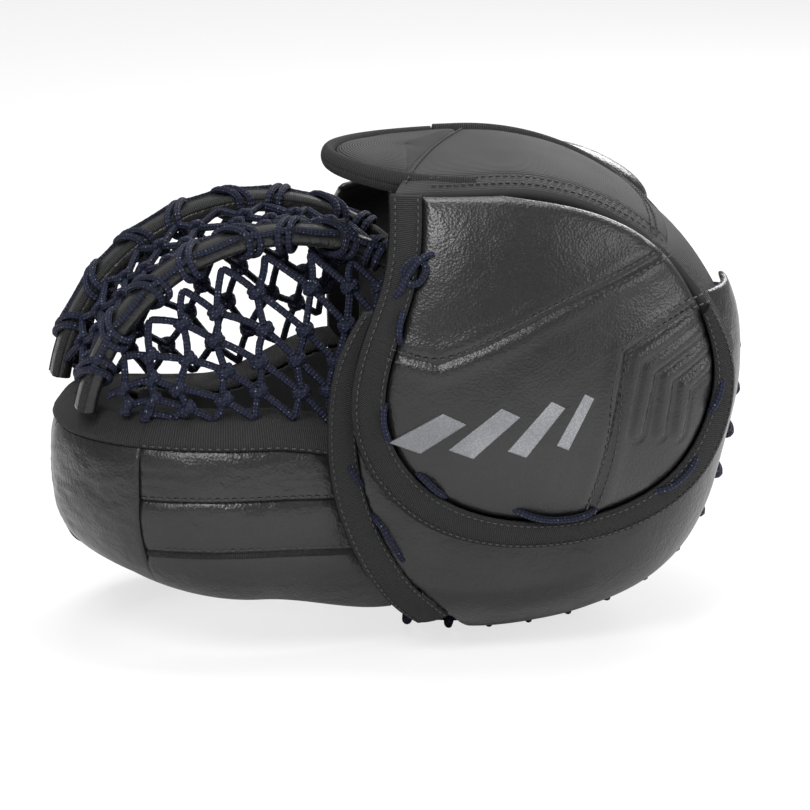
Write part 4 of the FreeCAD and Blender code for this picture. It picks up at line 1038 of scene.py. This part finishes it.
def build_near_tape():
    """The ribbed tape down the near shell's left edge."""
    cover = Skin("near_shell", "near_shell_binding")
    outer_line, inner_line = curve(LAP_EDGE, 300), curve(LAP_SEAM, 300)
    outer, inner = [], []
    for a, b in zip(outer_line, inner_line):
        row, back = [], []
        middle = (a + b) / 2
        if middle[1] < 22:
            break
        for t in np.linspace(-0.04, 1.02, 12):
            x, z = b + (a - b) * t
            x1, z1 = b + (a - b) * min(max(t, 0.02), 0.97)
            spot = cover.hit((x1, -300, z1), (0, 1, 0))
            y = -101.5 if spot is None or spot[1] > -40 else spot[1]
            t = (t + 0.04) / 1.06
            row.append((x, y - 0.9 - 1.5 * crown(t, 3.0), z))
            back.append((x, y + 4.6 * t ** 3 + 0.4, z))
        outer.append(row)
        inner.append(back)
    outer, inner = np.array(outer), np.array(inner)
    for grid in (outer, inner):
        for k in range(grid.shape[1]):
            kernel = np.ones(9) / 9
            padded = np.concatenate([np.repeat(grid[:1, k, 1], 4), grid[:, k, 1], np.repeat(grid[-1:, k, 1], 4)])
            grid[:, k, 1] = np.convolve(padded, kernel, "valid")
    skin("near_shell_tape", outer, inner, TAPE, "hand", ["near_shell_binding"])
    rows = [(outer[:, k] + np.array((0, -0.35, 0)), lambda p: np.array((0, -1.0, 0))) for k in (1, 10)]
    stitches("near_shell_stitches", rows, THREAD, "hand", "webbing", length=2.6)


def build_rim():
    """The rim's tape and the lace loops over it."""
    outer, inner = [], []
    angles = np.linspace(250, 385, 420)
    for angle in angles:
        row, back = [], []
        for t in np.linspace(0, 1, 16):
            y = RIM_Y - 6.6 + 13.2 * t
            bulge = 1.2 + 1.1 * crown(t, 3.0)
            x, z = rim_point(angle, bulge)
            xi, zi = rim_point(angle, -7.5)
            row.append((x, y, z))
            back.append((xi, y, zi))
        outer.append(row)
        inner.append(back)
    skin("rim_tape", np.array(outer), np.array(inner), TAPE, "hand", ["rim_binding"])
    loops = []
    for k in range(14):
        angle = 247 + 10.5 * k
        x, z = rim_point(angle)
        out = np.array((math.cos(math.radians(angle)), 0, math.sin(math.radians(angle))))
        centre = np.array((CUFF_X, 0, CUFF_Z))
        side = np.cross(out, (0, 1, 0))
        reach = math.hypot(x - CUFF_X, z - CUFF_Z)
        stops = []
        for y, rise, slant in ((-17, -2.4, -1.0), (-13.5, 1.4, -0.8), (-7.5, 3.7, -0.4), (0, 4.6, 0),
                               (7.5, 3.7, 0.4), (13, 1.4, 0.8), (16.5, -2.4, 1.0)):
            base = centre + out * (reach + rise) + side * slant * 3.4 + np.array((0, RIM_Y + y, 0))
            stops.append(base)
        loops.append(stops)
    for z in (80, 93, 106, 119):
        y = 142.5
        loops.append([(-29, y - 3.5, z - 4), (-25, y, z - 3), (-12, y + 1.0, z), (1, y, z + 3), (5, y - 4, z + 4)])
    cords("rim_lacing", loops, LACE * 0.5, NAVY, "hand", ["cuff_laces"])


def sunk_lace(places, surface_y, high=2.6, deep=-2.2):
    """A length of lace over the leather between two holes, through places of the picture."""
    stops = []
    n = len(places)
    for k, (px, py) in enumerate(places):
        x, z = on_dome(px, py)
        y = surface_y(x, z)
        lift = deep if k in (0, n - 1) else high
        stops.append((x, y - lift, z))
    return stops


def build_front_laces():
    """Running lace along the front panel's seam, and a knot where it starts by the ridge strip."""
    cover = Skin("front_edge_binding", "front_leather", "near_shell", "near_shell_binding")

    def face(x, z):
        spot = cover.hit((x, -300, z), (0, 1, 0))
        return float(dome(x, z)) if spot is None else spot[1]
    runs = [[(437, 263), (424, 262), (408, 278), (398, 296), (392, 306)],
            [(411, 262), (424, 274), (412, 289), (402, 280), (412, 266), (424, 268)],
            [(404, 312), (400, 322), (398, 336), (402, 348)],
            [(387, 404), (383, 414), (385, 430), (392, 444)],
            [(417, 470), (424, 477), (436, 488), (446, 494)],
            [(508, 505), (520, 510), (550, 516), (582, 510), (594, 505)],
            [(646, 490), (658, 486), (672, 478), (686, 462), (692, 450)],
            [(703, 414), (708, 402), (713, 388), (715, 376)],
            [(352, 462), (355, 470), (361, 480), (366, 488)],
            [(374, 512), (380, 520), (392, 538), (404, 558)]]
    paths = [sunk_lace(places, face) for places in runs]
    cords("front_lacing", paths, LACE * 0.47, NAVY, "hand", ["front_laces"])


# Top panels

TOP_CURVE = curve(TOP_PROFILE, 120)


def top_radius(y):
    return float(np.interp(y, TOP_CURVE[:, 0], TOP_CURVE[:, 1]))


def top_point(along, y, lift=0.0):
    """A point on the top panel: `along` is the distance over it from the plane x = TOP_X, to the right."""
    r = top_radius(y)
    if along <= 0:
        return np.array((TOP_X + along, y, TOP_Z + r + lift))
    a = math.pi / 2 - along / r
    return np.array((TOP_X + (r + lift) * math.cos(a), y, TOP_Z + (r + lift) * math.sin(a)))


def seam_x(y):
    (x1, y1), (x2, y2) = TONGUE_SEAM
    return x1 + (x2 - x1) * (y - y1) / (y2 - y1)


def build_top():
    ys = np.linspace(-92, 12.5, 90)
    for name, node, first, last, material, slot in (
            ("top_cloth", "top_panel", None, GUSSET_ANGLE, CLOTH, "ribbed_cloth"),
            ("side_gusset_cloth", "side_gusset", GUSSET_ANGLE, TOP_RIGHT_ANGLE + 3, DARK_CLOTH, "ribbed_cloth")):
        outer, inner = [], []
        for t in np.linspace(0, 1, 150 if first is None else 60):
            row, back = [], []
            for k, y in enumerate(ys):
                r = top_radius(y)
                start = seam_x(y) - TOP_X if first is None else math.radians(90 - first) * r
                end = math.radians(90 - last) * r
                along = start + (end - start) * t
                lift = 1.5 * crown(t, 8.0) * crown(k / (len(ys) - 1), 8.0)
                spot = top_point(along, y)
                lift += 0.5 * rough(spot, 30, 4) * crown(t, 6.0)
                if first is None:
                    ridge_line = abs(along - (end - 16) + 0.10 * (y + 40))
                    lift -= 1.2 * math.exp(-(ridge_line / 2.0) ** 2)
                    lift -= 0.9 * math.exp(-((y + 80) / 1.8) ** 2)
                row.append(top_point(along, y, lift))
                back.append(top_point(along, y, -7.0))
            outer.append(row)
            inner.append(back)
        skin(name, np.array(outer), np.array(inner), material, "hand", [node])
    build_tongue()
    lip_outer, lip_inner = [], []
    for t in np.linspace(0, 1, 260):
        along = -14 + (math.radians(90 - 21) * 162 + 14) * t
        row, back = [], []
        for w in np.linspace(0, 1, 22):
            turn = math.pi * (0.0 + 2.0 * w)
            row_r, row_y = 158.0 + 7.0 * math.cos(turn), 18.2 + 5.0 * math.sin(turn)
            spots = []
            for r, y in ((row_r, row_y), (158.0, 18.2)):
                if along <= 0:
                    spots.append((TOP_X + along, y, TOP_Z + r))
                else:
                    a = math.pi / 2 - along / 162
                    spots.append((TOP_X + r * math.cos(a), y, TOP_Z + r * math.sin(a)))
            row.append(spots[0])
            back.append(np.array(spots[1]) + (np.array(spots[0]) - np.array(spots[1])) * 0.6)
        lip_outer.append(row)
        lip_inner.append(back)
    skin("lip_tape", np.array(lip_outer), np.array(lip_inner), TAPE, "hand", ["lip_binding"])
    rows = []
    for offset in (1.6, 4.6):
        rows.append(([top_point(a, -92 + offset * 2.2, 1.4) for a in np.arange(-40, 112, 1.5)],
                     lambda p: np.array((0, -0.5, 0.85))))
    end, ys = math.radians(90 - GUSSET_ANGLE), np.arange(-86, 10, 1.5)
    for away in (2.4, -2.4):
        rows.append(([top_point(end * top_radius(y) - 16 - 0.10 * (y + 40) + away, y, 1.2) for y in ys],
                     lambda p: np.array((0.5, 0, 0.85))))
    rows.append(([top_point(seam_x(y) - TOP_X + 3.5, y, 1.2) for y in ys], lambda p: np.array((0, 0, 1.0))))
    stitches("top_stitches", rows, THREAD, "hand", "ribbed_cloth", length=2.4, gap=2.0)


def tongue_edge(angle, inset):
    """The tongue's plan in a direction: its rounded edge, or the slanting seam if that is nearer."""
    cx, cy = 2.0, -34.0
    dx, dy = math.cos(angle), math.sin(angle)
    ex, ey = TONGUE_CENTRE
    rx, ry = TONGUE_REACH[0] - inset, TONGUE_REACH[1] - inset
    ox, oy = cx - ex, cy - ey
    a = (dx / rx) ** 2 + (dy / ry) ** 2
    b = 2 * (ox * dx / rx ** 2 + oy * dy / ry ** 2)
    c = (ox / rx) ** 2 + (oy / ry) ** 2 - 1
    reach = (-b + math.sqrt(b * b - 4 * a * c)) / (2 * a)
    (x1, y1), (x2, y2) = TONGUE_SEAM
    nx, ny = y1 - y2, x2 - x1
    down = nx * dx + ny * dy
    if abs(down) > 1e-6:
        hit = (nx * (x1 - cx) + ny * (y1 - cy)) / down
        if 0 < hit < reach:
            reach = hit
    return cx, cy, reach


def build_tongue():
    outer, inner = [], []
    for angle in np.linspace(0, 2 * math.pi, 240, endpoint=False):
        cx, cy, reach = tongue_edge(angle, 9.0)
        row, back = [], []
        for share in np.linspace(0, 1, 40) ** 0.8:
            x, y = cx + reach * share * math.cos(angle), cy + reach * share * math.sin(angle)
            height = TOP_Z + top_radius(min(max(y, -92), 12.5))
            edge = reach * (1 - share)
            puff = 3.2 * (1 - math.exp(-edge / 9)) - 1.4 * math.exp(-edge / 1.6) + 0.6 * rough((x, y, 0), 22, 6)
            row.append((x, y, height + puff))
            back.append((x, y, height - 8.4 - 1.0 * (1 - math.exp(-edge / 9))))
        outer.append(row)
        inner.append(back)
    skin("tongue_cushion", np.array(outer), np.array(inner), CLOTH, "hand", ["tongue_pad"],
         closed_u=True)
    outer, inner = [], []
    ex, ey = TONGUE_CENTRE
    for angle in np.linspace(math.radians(96), math.radians(268), 260):
        row, back = [], []
        for w in np.linspace(0, 2 * math.pi, 22):
            out = 4.4 * math.cos(w)
            rx, ry = TONGUE_REACH[0] - 4.6 + out, TONGUE_REACH[1] - 4.6 + out
            x, y = ex + rx * math.cos(angle), ey + ry * math.sin(angle)
            height = TOP_Z + top_radius(min(max(y, -92), 12.5)) - 4.0 + 6.4 * math.sin(w)
            mx, my = ex + (TONGUE_REACH[0] - 4.6) * math.cos(angle), ey + (TONGUE_REACH[1] - 4.6) * math.sin(angle)
            mz = TOP_Z + top_radius(min(max(my, -92), 12.5)) - 4.0
            row.append((x, y, height))
            back.append((mx + (x - mx) * 0.5, my + (y - my) * 0.5, mz + (height - mz) * 0.5))
        outer.append(row)
        inner.append(back)
    skin("tongue_tape", np.array(outer), np.array(inner), TAPE, "hand", ["tongue_binding"])


# The rest of the glove, inside and behind

def build_soft_copies():
    for name, node, material, body, slot, voxel, rounds, ripple in (
            ("near_shell_leather", "near_shell", BLACK, "hand", "black_leather", 2.4, 6, 0.6),
            ("far_shell_leather", "far_shell", BLACK, "hand", "black_leather", 3.2, 5, 0.8),
            ("palm_skin", "palm_leather", INNER, "hand", "black_leather", 2.0, 3, 0.4),
            ("palm_stiffener", "palm_board", INNER, "hand", "stiff_board", 3.2, 3, 0.0),
            ("palm_lining", "palm_foam", LINING, "hand", "foam", 3.6, 4, 0.6),
            ("crotch_leather", "crotch_gussets", BLACK, "hand", "lining", 1.8, 2, 0.3),
            ("finger_lining", "finger_liner", INNER, "hand", "lining", 1.9, 2, 0.3),
            ("finger_cushion", "finger_foam_pad", LINING, "hand", "foam", 5.0, 4, 0.3),
            ("thumb_lining", "thumb_liner", INNER, "thumb", "lining", 1.7, 2, 0.3),
            ("thumb_cushion", "thumb_foam_pad", LINING, "thumb", "foam", 4.5, 3, 0.3),
            ("thumb_sleeve", "thumb_stall", LINING, "thumb", "lining", 1.5, 2, 0.2),
            *[(finger + "_sleeve", finger + "_finger_stall", LINING, "hand", "lining", 1.5, 2, 0.2)
              for finger in ("index", "middle", "ring", "little")],
            ("wrist_cushion", "wrist_pad", GLOSS, "hand", "gloss_leather", 1.8, 6, 0.6),
            ("pull_loop", "pull_tab", TAPE, "hand", "webbing", 1.2, 3, 0.2),
            ("strap_band", "wrist_strap", TAPE, "strap", "webbing", 1.2, 2, 0.0),
            ("strap_base", "strap_anchor", TAPE, "hand", "webbing", 1.2, 2, 0.0),
            ("strap_loops", "strap_loop_patch", PILE, "hand", "hook_and_loop", 1.0, 2, 0.1),
            ("strap_hooks", "strap_hook_patch", PILE, "strap", "hook_and_loop", 1.0, 2, 0.1)):
        softened(name, node, material, body, voxel, rounds, ripple)
    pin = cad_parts["strap_pin"]
    pin.data.materials.clear()
    pin.data.materials.append(STEEL)


def build_bends():
    """The tip's cover and the thumb's net stretch between the hand's side and the thumb wall: their placing is baked
    into their meshes.
    """
    def at(x, y, z):
        return tuple((np.array((x, y, z)) + SHIFT) / 1000)
    for name in ("tip_cover", "tip_top_tape"):
        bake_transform(bpy.data.objects[name])
    for name in ("thumb_side_lacing", "thumb_side_lacing_knots"):
        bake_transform(bpy.data.objects[name])


# Setting

def build_setting():
    scene = bpy.context.scene
    target = Vector(np.array((9.2, 0.0, 132.5)) + SHIFT) / 1000
    towards = Vector((-0.2018, -0.9487, 0.2420)).normalized()
    lens = bpy.data.cameras.new("camera")
    lens.lens = 222
    lens.sensor_width = 36
    camera = bpy.data.objects.new("camera", lens)
    camera.location = target + towards * 3.0
    camera.rotation_euler = towards.to_track_quat("Z", "Y").to_euler()
    scene.collection.objects.link(camera)
    scene.camera = camera
    scene.view_settings.view_transform = "Standard"

    world = bpy.data.worlds.new("world")
    scene.world = world
    world.use_nodes = True
    tree = world.node_tree
    back = tree.nodes["Background"]
    back.inputs[0].default_value = (1, 1, 1, 1)
    back.inputs[1].default_value = 0.38

    floor = bpy.data.meshes.new("floor")
    floor.from_pydata([(-12, -8, 0), (12, -8, 0), (12, 16, 0), (-12, 16, 0)], [], [(0, 1, 2, 3)])
    ground = bpy.data.objects.new("floor", floor)
    scene.collection.objects.link(ground)
    m = Nodes("floor_paper")
    diffuse = m.tree.nodes.new("ShaderNodeBsdfDiffuse")
    diffuse.inputs[0].default_value = (0.86, 0.86, 0.86, 1)
    glow = m.tree.nodes.new("ShaderNodeEmission")
    glow.inputs[0].default_value = (1, 1, 1, 1)
    glow.inputs[1].default_value = 1.0
    rays = m.tree.nodes.new("ShaderNodeLightPath")
    blend = m.tree.nodes.new("ShaderNodeMixShader")
    m.put(blend.inputs[0], m.math("MULTIPLY", rays.outputs["Is Camera Ray"], 0.72))
    m.tree.links.new(diffuse.outputs[0], blend.inputs[1])
    m.tree.links.new(glow.outputs[0], blend.inputs[2])
    m.tree.links.new(blend.outputs[0], m.tree.nodes["Material Output"].inputs[0])
    floor.materials.append(m.material)

    for name, spot, size, power in (("key", (-0.9, -1.5, 1.6), 0.9, 44.0), ("fill", (1.6, -1.1, 0.9), 0.9, 16.0),
                                    ("top", (0.1, 0.2, 1.9), 1.1, 30.0), ("rim", (1.1, 1.3, 1.1), 0.8, 22.0)):
        lamp = bpy.data.lights.new(name, "AREA")
        lamp.size = size
        lamp.energy = power
        light = bpy.data.objects.new(name, lamp)
        light.location = spot
        light.rotation_euler = (Vector(spot) - Vector((0, 0, 0.14))).to_track_quat("Z", "Y").to_euler()
        scene.collection.objects.link(light)


build_soft_copies()
build_wall()
build_ridges()
build_nets()
build_front()
build_near_tape()
build_rim()
build_front_laces()
build_top()
build_bends()
build_setting()
